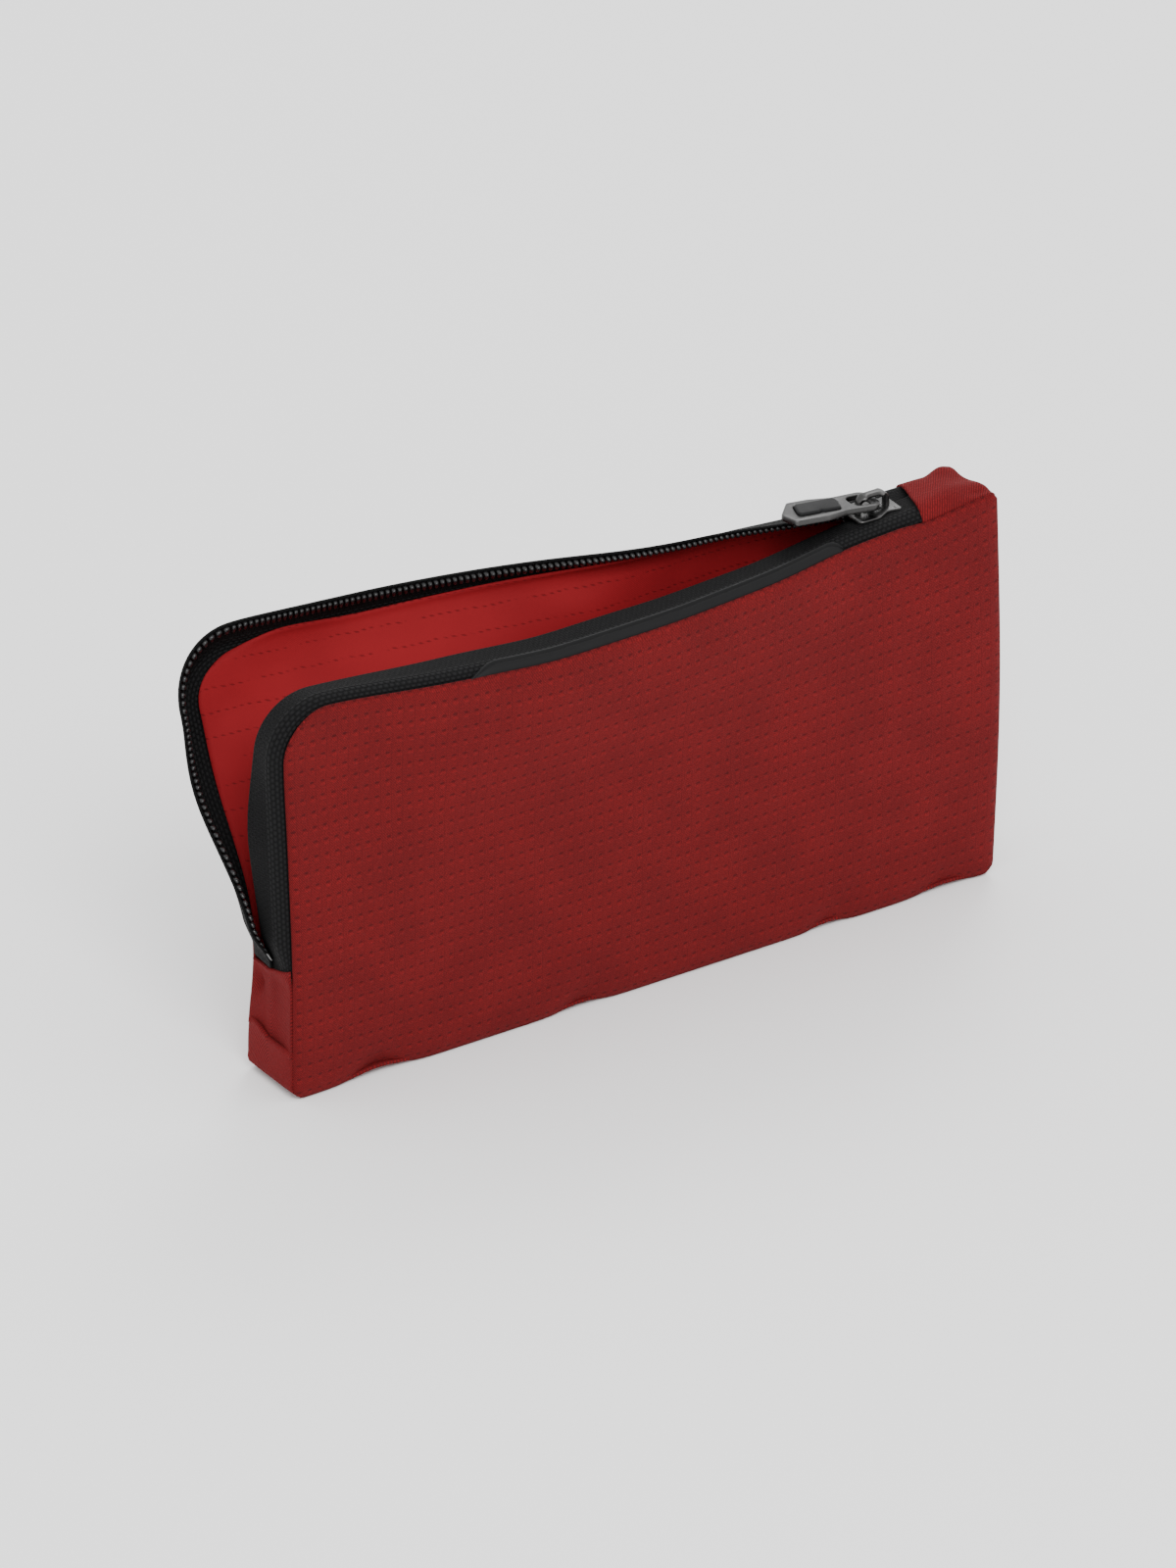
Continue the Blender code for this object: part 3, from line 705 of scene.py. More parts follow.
def panelShape(side, x, z, lift=0.0, seed=3):
    # closed shape: a soft bulge, a rim that turns in to the seams, puckers along the bottom seam
    across = np.clip((x - pouch["left"]) / (pouch["right"] - pouch["left"]), 0, 1)
    up = np.clip(z / pouch["top"], 0, 1)
    dome = (np.sin(pi * across) ** 0.55) * (np.sin(pi * up) ** 0.6)
    relief = crease(x, z, seed) * panelLook["wrinkle"] * edgeFade(x, z, 12)
    relief = relief + 0.10 * crease(x * 4.2, z * 3.4, seed + 1) * edgeFade(x, z, 5)
    out = panelLook["puff"][side] * dome + relief - 0.45 * (1 - edgeFade(x, z, 2.6))
    out = out - 0.9 * puckerDepth(x) * bump(z, 1.5, 4.2)
    bulgeRight = 1.4 * smoothstep((x - 70) / 30) * np.sin(pi * up) ** 1.2
    height = z + puckerDepth(x) * 0.55 * bump(z, 0.0, 5.0) * (1 if side < 0 else 0.4)
    hem = 0.9 * smoothstep((z - pouch["top"] + 12) / 12) * smoothstep((pouch["zipEnd"] + 2 - x) / 10)
    height = height + hem * (side < 0)
    return np.stack([x + bulgeRight, side * (pouch["back"] + out - lift), height], -1)


def buildPanel(side, name, nodes, seed):
    squareX, squareZ = squareGrid(0.0)
    x, z = roundCorners(squareX, squareZ)
    arc, weight = edgeArc(squareX, squareZ)
    grid = settle(side, panelShape(side, x, z, seed=seed), arc, weight)
    cloth = np.stack([x, z, np.zeros_like(x)], -1)
    panel = shell(name, grid, panelLook["thickness"], finishes["ripstop"], cloth)
    dress(panel, side, "ripstop", *nodes)


def nearestEdge(x, z):
    # distance along the zip and distance in from the mouth's edge
    radius = pouch["cornerRadius"]
    centreX, centreZ = pouch["left"] + radius, pouch["top"] - radius
    polar = np.hypot(np.minimum(x - centreX, 0), np.maximum(z - centreZ, 0))
    angle = np.arctan2(np.maximum(centreX - x, 0), np.maximum(z - centreZ, 1e-9))
    arc = cornerRun + radius * angle + np.maximum(centreZ - z, 0) * (x < centreX)
    arc = np.where(x >= centreX, pouch["zipEnd"] - x, arc)
    besideCorner = np.where(z <= centreZ, x - pouch["left"], radius - polar)
    return arc, np.where(x >= centreX, pouch["top"] - z, besideCorner)


liningShape = {"thickness": 0.35, "reachIn": 11, "behindPanel": 1.35, "onTape": 0.6, "rim": 1.2}


def buildLining(side, name, nodes, seed):
    # the lining follows the panel and runs on over the tape's inner face towards the chain
    squareX, squareZ = squareGrid(0.0)
    x, z = roundCorners(squareX, squareZ)
    arc, inside = nearestEdge(x, z)
    gap = softTable(arc, tapeShape["liningKnots"], tapeShape["liningGap"][side], 5.0)
    along = smoothstep((arc + 3) / 5) * smoothstep((edgeLength - arc) / 6)
    reach = (tapeShape["width"] - gap + 1.3) * along - 1.3
    reachIn, rim = liningShape["reachIn"], liningShape["rim"]
    past = reach * smoothstep(1 - inside / reachIn) - inside
    edgeX, edgeZ, outX, outZ = edgePath(np.clip(arc, 0, None))
    near = (inside < reachIn) & (arc >= 0) & (arc < edgeLength + 8)
    flatX = np.where(near, edgeX + outX * past, x)
    flatZ = np.where(near, edgeZ + outZ * past, z)
    body = panelShape(side, np.clip(flatX, pouch["left"] + rim, pouch["right"] - rim),
                      np.clip(flatZ, rim, pouch["top"] - 1.0), lift=liningShape["behindPanel"], seed=seed)
    farRight = pouch["right"] - rim + 1.3 * np.sin(pi * np.clip(z / pouch["top"], 0, 1))
    body[..., 0] = np.minimum(body[..., 0], farRight)
    if side > 0:
        body[..., 1] -= 1.5 * bump(flatX, -2.0, 9.0) * bump(flatZ, 90.0, 14.0)
    onTape = tapeBand(side, np.clip(arc, 0, edgeLength), past, lift=liningShape["onTape"])
    share = (smoothstep((past + 5) / 5) * near * (arc <= edgeLength))[..., None]
    closed = body * (1 - share) + onTape * share
    hangArc, weight = edgeArc(squareX, squareZ)
    grid = settle(side, closed, hangArc, weight)
    cloth = np.stack([flatX, flatZ, np.zeros_like(flatX)], -1)
    lining = shell(name, grid, liningShape["thickness"], finishes["lining"], cloth)
    dress(lining, side, "lining", *nodes)


buildPanel(-1, "frontPanelCloth", ["front_panel"], 3)
buildPanel(1, "backPanelCloth", ["back_panel", "back_flap_panel"], 11)
buildLining(-1, "frontLiningCloth", ["front_lining"], 3)
buildLining(1, "backLiningCloth", ["back_lining", "back_flap_lining"], 11)
print("panels and linings sewn")


def sideLimits(arc, margin):
    # where the front and back panels' edges are, across the pouch
    return (pouch["front"] + margin - hangAt("frontForward", arc),
            pouch["back"] - margin - hangAt("backForward", arc))


def buildLeftGusset():
    top = pouch["zipLow"] + 0.6
    across, share = np.meshgrid(np.linspace(-1, 1, 29), np.linspace(0, 1, 42), indexing="ij")
    sag = 3.4 * (across + 1) / 2 + 0.8 * (1 - across ** 2)
    low = pouch["seamHeight"] - 0.6 + 1.8 * smoothstep((across + 0.1) / 0.7)
    up = low + (top - sag - low) * share
    yLow, yHigh = sideLimits(edgeLength + pouch["zipLow"] - up, 0.5)
    y = yLow + (yHigh - yLow) * (across + 1) / 2
    hollow = 1.0 * (1 - across ** 2) * smoothstep((up - 2) / 10) * smoothstep((36 - up) / 14)
    seam = 0.55 * bump(up, low, 1.6) * (1 - across ** 4)
    dimple = 1.5 * bump(up, 25.0, 3.0) * bump(across, 0.72, 0.2)
    cover = 1.1 * smoothstep((up - 29) / 4) * (1 - 0.6 * across ** 4)
    x = pouch["left"] - 0.2 + hollow - 0.4 * bump(across, 0.1, 0.22) - seam + dimple - cover
    grid = np.stack([x, y, up], -1)
    cloth = np.stack([np.abs(y) * 1.2, up, np.zeros_like(up)], -1)
    dress(shell("leftGussetCloth", grid, 0.7, finishes["gusset"], cloth), -1, "ripstop", "left_gusset")


def buildBottomGusset():
    # one strip: turned up at the left end to the cross seam, then along the bottom
    turnRadius, upRun = 3.2, pouch["seamHeight"] + 1.4
    upPart = upRun - turnRadius
    total = upPart + turnRadius * pi / 2 + pouch["right"] - pouch["left"] - turnRadius - 1.0
    across, run = np.meshgrid(np.linspace(-1, 1, 25), np.linspace(0, total, 150), indexing="ij")
    turn = np.clip((run - upPart) / turnRadius, 0, pi / 2)
    past = np.maximum(run - upPart - turnRadius * pi / 2, 0)
    x0 = pouch["left"] - 0.3 + turnRadius * (1 - np.cos(turn)) + past
    z0 = turnRadius * (1 - np.sin(turn)) + np.maximum(upPart - run, 0)
    rise = 1.8 * smoothstep((across + 0.1) / 0.7) * smoothstep((upPart - run) / 5)
    yLow, yHigh = sideLimits(edgeLength + pouch["zipLow"] - z0, 0.45)
    y = yLow + (yHigh - yLow) * (across + 1) / 2
    sag = 0.4 * (1 - across ** 2) * smoothstep((run - upPart) / 10)
    lift = 0.45 + 0.5 * puckerDepth(x0) * bump(across, -1.0, 0.5) - sag
    z = z0 + rise + lift * smoothstep((run - upPart + 2) / 6)
    seam = 0.45 * (1 - across ** 4) * bump(run, 0.0, 2.2)
    x = x0 - seam + 0.5 * across ** 4 * smoothstep((upPart + 3 - run) / 6)
    grid = np.stack([x, y, np.maximum(z, 0.42)], -1)
    cloth = np.stack([np.abs(y) * 1.2, run, np.zeros_like(run)], -1)
    dress(shell("bottomGussetCloth", grid, 0.8, finishes["gusset"], cloth), -1, "ripstop", "bottom_gusset")


def buildRightGusset():
    across, share = np.meshgrid(np.linspace(-1, 1, 25), np.linspace(0, 1, 64), indexing="ij")
    up = 0.9 + (pouch["top"] - 1.6) * share
    y = across * (pouch["back"] - 0.6)
    swell = 1.4 * np.sin(pi * np.clip(up / pouch["top"], 0, 1)) ** 1.2
    body = 0.7 * (1 - across ** 2) * np.sin(pi * share) ** 0.5
    fold1 = 0.9 * bump(up, 94.0, 5.0) * bump(across, -0.5, 0.25)
    ends = 1.2 * (1 - np.clip(np.sin(pi * np.clip(share * 0.96 + 0.02, 0, 1)) * 6, 0, 1))
    x = pouch["right"] - 0.1 + swell + body - fold1 - ends + 0.25 * crease(up, y * 3, 5)
    nearTop = smoothstep((up - pouch["top"] + hang["fan"]) / hang["fan"])
    pulled = -hangAt("frontDown", pouch["zipEnd"] - x) * (1 - across) / 2 * nearTop
    grid = np.stack([x, y, up + pulled], -1)
    cloth = np.stack([np.abs(y) * 1.2, up, np.zeros_like(up)], -1)
    dress(shell("rightGussetCloth", grid, 0.8, finishes["gusset"], cloth), -1, "ripstop", "right_gusset")


def buildEndCover():
    # the crowned top piece at the right; its back corner stands up in a small ear
    across, share = np.meshgrid(np.linspace(-1, 1, 37), np.linspace(0, 1, 30), indexing="ij")
    startX = pouch["zipEnd"] - 0.6 + 4.2 * smoothstep((across + 1) / 2)
    x = startX + (pouch["right"] - 0.4 - startX) * share
    arc = pouch["zipEnd"] - x
    yLow, yHigh = sideLimits(arc, 0.5)
    y = yLow + (yHigh - yLow) * (across + 1) / 2
    crown = (pouch["zipTop"] - pouch["top"] + 1.1) * (1 - np.abs(across) ** (7 - 4 * share))
    slope = 1 - 0.72 * smoothstep((share - 0.45) / 0.55)
    standing = smoothstep((share - 0.42) / 0.34) * smoothstep((1.0 - share) / 0.13)
    ear = 2.9 * bump(across, 0.72, 0.40) * standing
    knuckle = 0.5 * bump(across, -0.45, 0.4) * bump(share, 0.93, 0.2)
    valley = 0.9 * bump(across, -0.80, 0.16) * bump(share, 0.80, 0.22)
    pulled = -hangAt("frontDown", arc) * (1 - across) / 2
    z = pouch["top"] - 0.2 + pulled + crown * slope + (ear + knuckle - valley) * (1 - np.abs(across) ** 10)
    z = z + 0.25 * crease(x * 2, y * 3, 9) - 0.7 * smoothstep((share - 0.94) / 0.06)
    grid = np.stack([x, y, z], -1)
    cloth = np.stack([x, y, np.zeros_like(x)], -1)
    dress(shell("zipEndCoverCloth", grid, 0.7, finishes["gusset"], cloth), -1, "ripstop", "zip_end_cover")


def buildBindings():
    # narrow knitted tapes over the raw bottom seams inside
    for side, end in ((-1, "front"), (1, "back")):
        node = "seam_binding_" + end
        low, high = cadBox(node)
        x, share = np.meshgrid(np.linspace(low[0], high[0], 90), np.linspace(0, 1, 7), indexing="ij")
        middle = (low[1] + high[1]) / 2
        y = middle + side * 0.05 * np.sin(x * 0.9) * share
        z = low[2] + (high[2] - low[2]) * share + 0.25 * np.sin(x / 9.0) * share
        cloth = np.stack([x, share * (high[2] - low[2]), np.zeros_like(x)], -1)
        strip = shell(end + "SeamBinding", np.stack([x, y, z], -1), 0.4, finishes["tape"], cloth)
        dress(strip, -1, "tape_black", node)


buildLeftGusset()
buildBottomGusset()
buildRightGusset()
buildEndCover()
buildBindings()
print("gussets sewn")


zipLook = {"pitch": 1.45, "tapeThickness": 0.55, "alongStep": 0.9, "acrossCount": 26,
           "start": {-1: -4.0, 1: -6.5}, "tuck": {-1: -2.2, 1: -4.6}, "seed": {-1: 3, 1: 11},
           "toothEnd": {-1: 0.38, 1: -0.55}, "toothLength": 2.3,
           "toothHalfWidth": 0.60, "toothHalfHeight": 0.74}


def buildTape(side, name, nodes):
    arcs = np.linspace(zipLook["start"][side], edgeLength + 1.5, round(edgeLength / zipLook["alongStep"]))
    acrosses = np.linspace(zipLook["tuck"][side], tapeShape["width"], zipLook["acrossCount"])
    arc, across = np.meshgrid(arcs, acrosses, indexing="ij")
    closed = tapeBand(side, arc, across)
    under = panelShape(side, closed[..., 0], closed[..., 2], lift=0.75, seed=zipLook["seed"][side])[..., 1]
    tuck = smoothstep((-across - 0.8) / 1.5)
    closed[..., 1] = closed[..., 1] * (1 - tuck) + under * tuck
    grid = settle(side, closed, arc)
    cloth = np.stack([arc, across, np.zeros_like(arc)], -1)
    dress(shell(name, grid, zipLook["tapeThickness"], finishes["tape"], cloth), side, "tape_black", *nodes)


def toothTemplate(side):
    # one turn of the coil: a capsule across the tape with a swollen head; axes are along, across, lift
    rings, spokes, loops = 8, 10, []
    for t in np.linspace(0, 1, rings):
        size = np.sin(pi * (0.07 + 0.86 * t)) ** 0.35 * (0.86 + 0.26 * smoothstep((t - 0.5) / 0.3))
        across = zipLook["toothEnd"][side] + zipLook["toothLength"] * (t - 1)
        angles = 2 * pi * np.arange(spokes) / spokes
        along = zipLook["toothHalfWidth"] * size * np.cos(angles)
        up = 0.72 + zipLook["toothHalfHeight"] * size * np.sin(angles)
        loops.append(np.column_stack([along, np.full(spokes, across), up]))
    return loftData(loops)


def buildCoil(side, name, nodes):
    tooth, toothFaces = toothTemplate(side)
    count = int((edgeLength - 3.0) / zipLook["pitch"])
    centres = 1.0 + (np.arange(count) + 0.5 + 0.25 * side) * zipLook["pitch"]
    arcs = (centres[:, None] + tooth[None, :, 0]).ravel()
    across, lift = np.tile(tooth[:, 1], count), np.tile(tooth[:, 2], count)
    closed = tapeBand(side, arcs, tapeShape["width"] + across, lift)
    faces = [[i + n * len(tooth) for i in face] for n in range(count) for face in toothFaces]
    dress(makePiece(name, settle(side, closed, arcs), faces, finishes["nylon"]), side, "coil_black", *nodes)


def buildStops():
    # crimped metal clips round the last turns at the foot of each chain
    arc = edgeLength - 1.6
    for side, end in ((-1, "front"), (1, "back")):
        loops = []
        for along, inset in ((-0.9, 0.25), (-0.6, 0.0), (0.6, 0.0), (0.9, 0.25)):
            ring = []
            for k in range(12):
                angle = 2 * pi * k / 12
                across = tapeShape["width"] - 0.7 + (1.35 - inset) * cos(angle)
                ring.append(tapeBand(side, arc + along, across, lift=0.55 + (1.0 - inset) * sin(angle)))
            loops.append(np.array(ring))
        points, faces = loftData(loops)
        stop = makePiece(end + "TopStop", settle(side, points, arc), faces, finishes["nickel"], sharp=40)
        dress(stop, side, "slider_metal", "zip_top_stop_" + end)


buildTape(-1, "frontZipTape", ["zip_tape_front"])
buildTape(1, "backZipTape", ["zip_tape_back", "zip_tape_back_end"])
buildCoil(-1, "frontZipCoil", ["zip_coil_front"])
buildCoil(1, "backZipCoil", ["zip_coil_back", "zip_coil_back_end"])
buildStops()
print("zip laid in")


# the profile gives share of the width and of the thickness, with a raised rim along the chain
labelLook = {
    "half": 56.0, "width": 4.3, "low": -0.8, "thick": 0.75, "under": 0.25,
    "profile": [(0.0, 0.10), (0.03, 0.75), (0.12, 1.0), (0.72, 1.0), (0.78, 0.70), (0.83, 0.70), (0.88, 1.15),
                (0.95, 1.15), (0.985, 0.8), (1.0, 0.10)],
}


def buildLabel():
    # moulded strip on the front tape with a raised rim; the lower edge is tucked behind the cloth
    arcs = np.linspace(pouch["zipEnd"] - labelLook["half"], pouch["zipEnd"] + labelLook["half"], 130)
    fromRight, fromLeft = arcs - arcs[0], arcs[-1] - arcs
    roundEnd = np.sqrt(np.clip(1 - np.clip((4.5 - fromRight) / 4.5, 0, 1) ** 2, 0, 1))
    widths = 0.25 + (labelLook["width"] - 0.25) * roundEnd * smoothstep(fromLeft / 12.0) ** 0.8
    look, loops = labelLook, []
    for arc, width in zip(arcs, widths):
        low, under = look["low"], look["under"]
        outer = [tapeBand(-1, arc, low + width * a, -under - 0.05 - look["thick"] * h)
                 for a, h in look["profile"]]
        inner = [tapeBand(-1, arc, low + width * a, -under) for a, _ in reversed(look["profile"])]
        loops.append(np.array(outer + inner))
    points, faces = loftData(loops)
    settled = settle(-1, points, np.repeat(arcs, len(loops[0])))
    dress(makePiece("labelStripRubber", settled, faces, finishes["label"]), -1, "label_rubber", "label_strip")


buildLabel()
print("label strip laid on")


sliderLook = {"wide": 4.9, "waist": 3.1, "end": 3.9, "plate": 1.0, "chamfer": 0.28,
              "strapHalf": 1.1, "strap": 0.62, "stud": 0.42, "studOut": 2.3}


def levelPlate(outline, rings):
    # a closed plate along Z; each ring is (how far in from the outline, height)
    flat = [insetOutline(outline, inset) for inset, _ in rings]
    return loftData([np.column_stack([ring, np.full(len(ring), z)]) for ring, (_, z) in zip(flat, rings)])


def boxOutline(left, right, near, far, radius):
    corners = (left, near), (right, near), (right, far), (left, far)
    return arcCorners([(*corner, radius) for corner in corners])


def softRings(low, high, chamfer):
    # ring list for a plate with rounded upper and lower rims
    turns = [0.0, 0.3, 0.7, 1.0]
    rise = [(chamfer * (1 - sin(t * pi / 2)), low + chamfer * (1 - cos(t * pi / 2))) for t in turns]
    return rise + [(inset, low + high - z) for inset, z in reversed(rise)]


def buildSliderBody():
    low, high = cadBox("slider_body")
    middle, reach, look = (low[0] + high[0]) / 2, (high[0] - low[0]) / 2, sliderLook
    nearSide = [(-reach, -look["wide"] + 0.2, 1.6), (-0.7, -look["wide"], 2.2), (2.7, -look["waist"], 2.6),
                (reach, -look["end"], 0.7)]
    outline = arcCorners(nearSide + [(x, -y, radius) for x, y, radius in nearSide[::-1]])
    outline[:, 0] += middle
    plates = [(high[2] - look["plate"], high[2]), (low[2], low[2] + look["plate"])]
    parts = [levelPlate(outline, softRings(*levels, look["chamfer"])) for levels in plates]
    post = np.array([(-5.7, -0.45), (-2.0, -0.45), (-2.0, 0.45), (-5.7, 0.45)]) + (middle, 0)
    parts.append(levelPlate(post, [(0, low[2] + 0.4), (0, high[2] - 0.4)]))
    for side in (-1, 1):
        rim = (boxOutline(-5.2, 0.4, 3.9, 4.75, 0.3) * (1, side))[::side] + (middle, 0)
        parts.append(levelPlate(rim, [(0.05, low[2] + 0.5), (0, low[2] + 2.2), (0.12, low[2] + 2.4)]))
        out, half = side * look["studOut"], look["stud"]
        stud = boxOutline(4.9, 4.9 + 2 * half, out - half, out + half, 0.4) + (middle, 0)
        parts.append(levelPlate(stud, [(0, high[2] - 0.3), (0, high[2] + 0.08), (0.2, high[2] + 0.16)]))
    points, faces = joinParts(parts)
    casting = makePiece("sliderCasting", points, faces, finishes["nickel"], sharp=38)
    attach(casting, "slider", "slider_metal", "slider_body")


def softOval(halfA, halfB, powerA, powerB):
    # sixteen points round a section between an oval and a box
    angles = 2 * pi * np.arange(16) / 16
    c, s = np.cos(angles), np.sin(angles)
    return halfA * np.sign(c) * np.abs(c) ** powerA, halfB * np.sign(s) * np.abs(s) ** powerB


def strapData(path, widths, thickness):
    # a flat bar with rounded rims along a path in XZ
    path = np.asarray(path, float)
    along = np.gradient(path, axis=0)
    along /= np.linalg.norm(along, axis=1, keepdims=True)
    loops = []
    for (x, z), (dx, dz), width in zip(path, along, widths):
        across, rise = softOval(width, thickness, 0.45, 0.6)
        loops.append(np.column_stack([x - dz * rise, across, z + dx * rise]))
    return loftData(loops)


def buildBridge():
    # arch over the puller's eye with a thick rib over each shoulder, and the flat lock spring under it
    low, high = cadBox("slider_bridge")
    half = sliderLook["strap"]
    middle, reach = (low[0] + high[0]) / 2, (high[0] - low[0]) / 2 - half
    top, foot = high[2] - half, low[2] - 0.5
    turns = np.linspace(0, pi, 27)
    archX = -reach * np.sign(np.cos(turns)) * np.abs(np.cos(turns)) ** 0.62
    archZ = foot + (top - foot) * np.sin(turns) ** 0.55
    widths = sliderLook["strapHalf"] * (0.92 + 0.5 * bump(np.abs(archX), reach * 0.62, 0.65))
    points, faces = strapData(np.column_stack([middle + archX, archZ]), widths, half)
    bridge = makePiece("sliderBridge", points, faces, finishes["nickel"], sharp=50)
    attach(bridge, "slider", "slider_metal", "slider_bridge")
    low, high = cadBox("slider_lock_spring")
    x = np.linspace(low[0], high[0], 15)
    bow = 0.28 * (1 - ((x - middle) / (high[0] - middle)) ** 2)
    points, faces = strapData(np.column_stack([x, (low[2] + high[2]) / 2 + bow]), np.full(15, high[1]), 0.15)
    spring = makePiece("sliderLockSpring", points, faces, finishes["spring"], sharp=50)
    attach(spring, "slider", "spring_steel", "slider_lock_spring")


pullerLook = {"lift": 7.0, "half": 0.75, "tip": -26.5, "waist": -9.5, "wideFrom": -15.5, "chamfer": 0.3,
              "gripLow": -23.0, "gripHigh": -8.8, "gripHalf": 2.7, "gripSlant": 2.0, "gripUnder": -0.85,
              "gripRise": 1.35, "notch": -16.2}


def gripOutline(inset):
    low, high = pullerLook["gripLow"] + inset, pullerLook["gripHigh"] - inset
    half, slant = pullerLook["gripHalf"] - inset, pullerLook["gripSlant"]
    notch = pullerLook["notch"]
    return arcCorners([(low, -half, 1.0), (notch - 1, -half, 0.6), (notch, -half + 0.42, 0.6),
                       (notch + 1, -half, 0.6), (high - slant, -half, 1.0),
                       (high, half, 1.2), (low + slant, half, 1.2)])


def holedPlate(outline, holes, rings):
    # rim walls round the outline and every hole, then the flat faces between them
    walls = [levelPlate(loop, rings) for loop in [outline] + holes]
    parts = [(points, faces[:-2]) for points, faces in walls]
    for (inset, z), up in ((rings[0], False), (rings[-1], True)):
        loops = [insetOutline(loop, inset) for loop in [outline] + holes]
        flat = np.vstack(loops)
        triangles = tessellate_polygon([[Vector((x, y, 0)) for x, y in loop] for loop in loops])
        faces = []
        for a, b, c in triangles:
            turn = np.cross(flat[b] - flat[a], flat[c] - flat[a]) > 0
            faces.append([a, b, c] if turn == up else [c, b, a])
        parts.append((np.column_stack([flat, np.full(len(flat), z)]), faces))
    return joinParts(parts)


def onPuller(points):
    hinge = np.array(jointNamed("puller_swing")["pos_m"]) / mm
    c, s = cos(radians(pullerLook["lift"])), sin(radians(pullerLook["lift"]))
    u, v, w = np.asarray(points, float).T
    return hinge + np.column_stack([u * c + w * s, v, -u * s + w * c])


def buildPuller():
    look = pullerLook
    tip = look["tip"]
    outline = arcCorners([
        (0.9, -4.3, 3.0), (0.9, 4.3, 3.0), (look["waist"], 3.9, 4.0), (look["wideFrom"], 5.0, 4.0),
        (tip + 5.0, 5.0, 1.2), (tip, -0.4, 1.6), (tip + 1.4, -5.0, 1.2), (look["wideFrom"], -5.0, 4.0),
        (look["waist"], -3.9, 4.0),
    ])
    eye = boxOutline(-6.6, -0.7, -2.6, 2.6, 1.9)[::-1]
    window = gripOutline(-0.12)[::-1]
    rings = softRings(-look["half"], look["half"], look["chamfer"])
    points, faces = holedPlate(outline, [eye, window], rings)
    plate = makePiece("pullerPlate", onPuller(points), faces, finishes["nickel"], sharp=50)
    weld(plate)
    points, faces = levelPlate(gripOutline(0.0), softRings(look["gripUnder"], look["gripRise"], 0.5))
    grip = makePiece("pullerGrip", onPuller(points), faces, finishes["grip"], sharp=60)
    attach(plate, "puller", "slider_metal", "puller_plate")
    attach(grip, "puller", "grip_rubber", "puller_grip")


def weld(piece):
    work = bmesh.new()
    work.from_mesh(piece.data)
    bmesh.ops.remove_doubles(work, verts=work.verts, dist=0.00001)
    work.to_mesh(piece.data)
    work.free()


def buildBottomStop():
    low, high = cadBox("zip_bottom_stop")
    outline = boxOutline(low[0], high[0], low[1], high[1], 0.4)
    points, faces = levelPlate(outline, softRings(low[2], high[2], 0.35))
    stop = makePiece("bottomStopClip", points, faces, finishes["nickel"], sharp=50)
    dress(stop, -1, "slider_metal", "zip_bottom_stop")


buildSliderBody()
buildBridge()
buildPuller()
buildBottomStop()
print("slider and puller fitted")


def buildRoll(name, node, finish, slot, look):
    # wound sheet: spiral layers show on both ends and the loose end makes a small step
    low, high = cadBox(node)
    middle, radius = (low + high) / 2, (high[1] - low[1]) / 2 - 0.15
    half, core, spokes = (high[0] - low[0]) / 2, look["core"], 56
    endRadii = np.linspace(core, radius - 0.3, look["layers"] * 4)
    profile = [(-half, r) for r in endRadii] + [(-half + 0.25, radius - 0.05)]
    profile += [(x, radius) for x in np.linspace(-half + 0.6, half - 0.6, look["bands"] * 2 + 1)]
    profile += [(half - 0.25, radius - 0.05)] + [(half, r) for r in endRadii[::-1]]
    angles = 2 * pi * np.arange(spokes) / spokes
    gap = (radius - core) / look["layers"]
    points, cloth = [], []
    for n, (x, r) in enumerate(profile):
        onEnd = abs(x) >= half - 0.01
        ripple = 0.16 * np.sin(2 * pi * r / gap + angles) * onEnd
        band = 0.0 if onEnd else look["ridge"] * np.cos(pi * n) - 0.22 * (angles / (2 * pi))
        ring = r + band + 0.08 * np.sin(3 * angles + x * 0.21) * (r > core + 0.1)
        points.append(np.column_stack([middle[0] + x + np.sign(x) * (ripple - 0.2 * onEnd),
                                       middle[1] + ring * np.cos(angles), middle[2] + ring * np.sin(angles)]))
        cloth.append(np.column_stack([np.full(spokes, x + r * onEnd), angles * radius, np.zeros(spokes)]))
    _, faces = loftData(points + points[:1], capped=False)
    count = len(profile) * spokes
    faces = [[i % count for i in face] for face in faces]
    roll = makePiece(name, np.vstack(points), faces, finishes[finish], np.vstack(cloth), sharp=60)
    attach(roll, "pouch", slot, node)


def flatGrid(left, right, floor, top, nx, nz):
    return np.meshgrid(np.linspace(left, right, nx), np.linspace(floor, top, nz), indexing="ij")


def buildPacket(name, node, finish, slot, look):
    # two faces sealed along a crimped border, puffed by what is inside
    low, high = cadBox(node)
    nx, nz = round((high[0] - low[0]) / 1.2), round((high[2] - low[2]) / 1.2)
    x, z = flatGrid(low[0] + 0.3, high[0] - 0.3, low[2] + 0.3, high[2] - 0.3, nx, nz)
    gap = np.minimum(np.minimum(x - low[0], high[0] - x), np.minimum(z - low[2], high[2] - z)) - 0.3
    depth = high[1] - low[1] - 0.2
    relief = look["crumple"] * crease(x * look["fine"], z * look["fine"], look["seed"])
    puff = smoothstep((gap - look["crimp"]) / look["shoulder"]) ** 0.6
    full = look["border"] + (depth - look["border"] - look["crumple"]) * puff
    crimpWave = 0.10 * np.sin((x + z) * 2.6) * (gap < look["crimp"])
    thickness = np.maximum(full + relief * (gap > look["crimp"]), 0.25)
    y = (low[1] + high[1]) / 2 + crimpWave * min(1.0, depth / 2.2)
    z[1::2, 0] += look["pinked"]
    z[1::2, -1] -= look["pinked"]
    grid = np.stack([x, y, z], -1)
    attach(shell(name, grid, thickness, finishes[finish], grid), "pouch", slot, node)


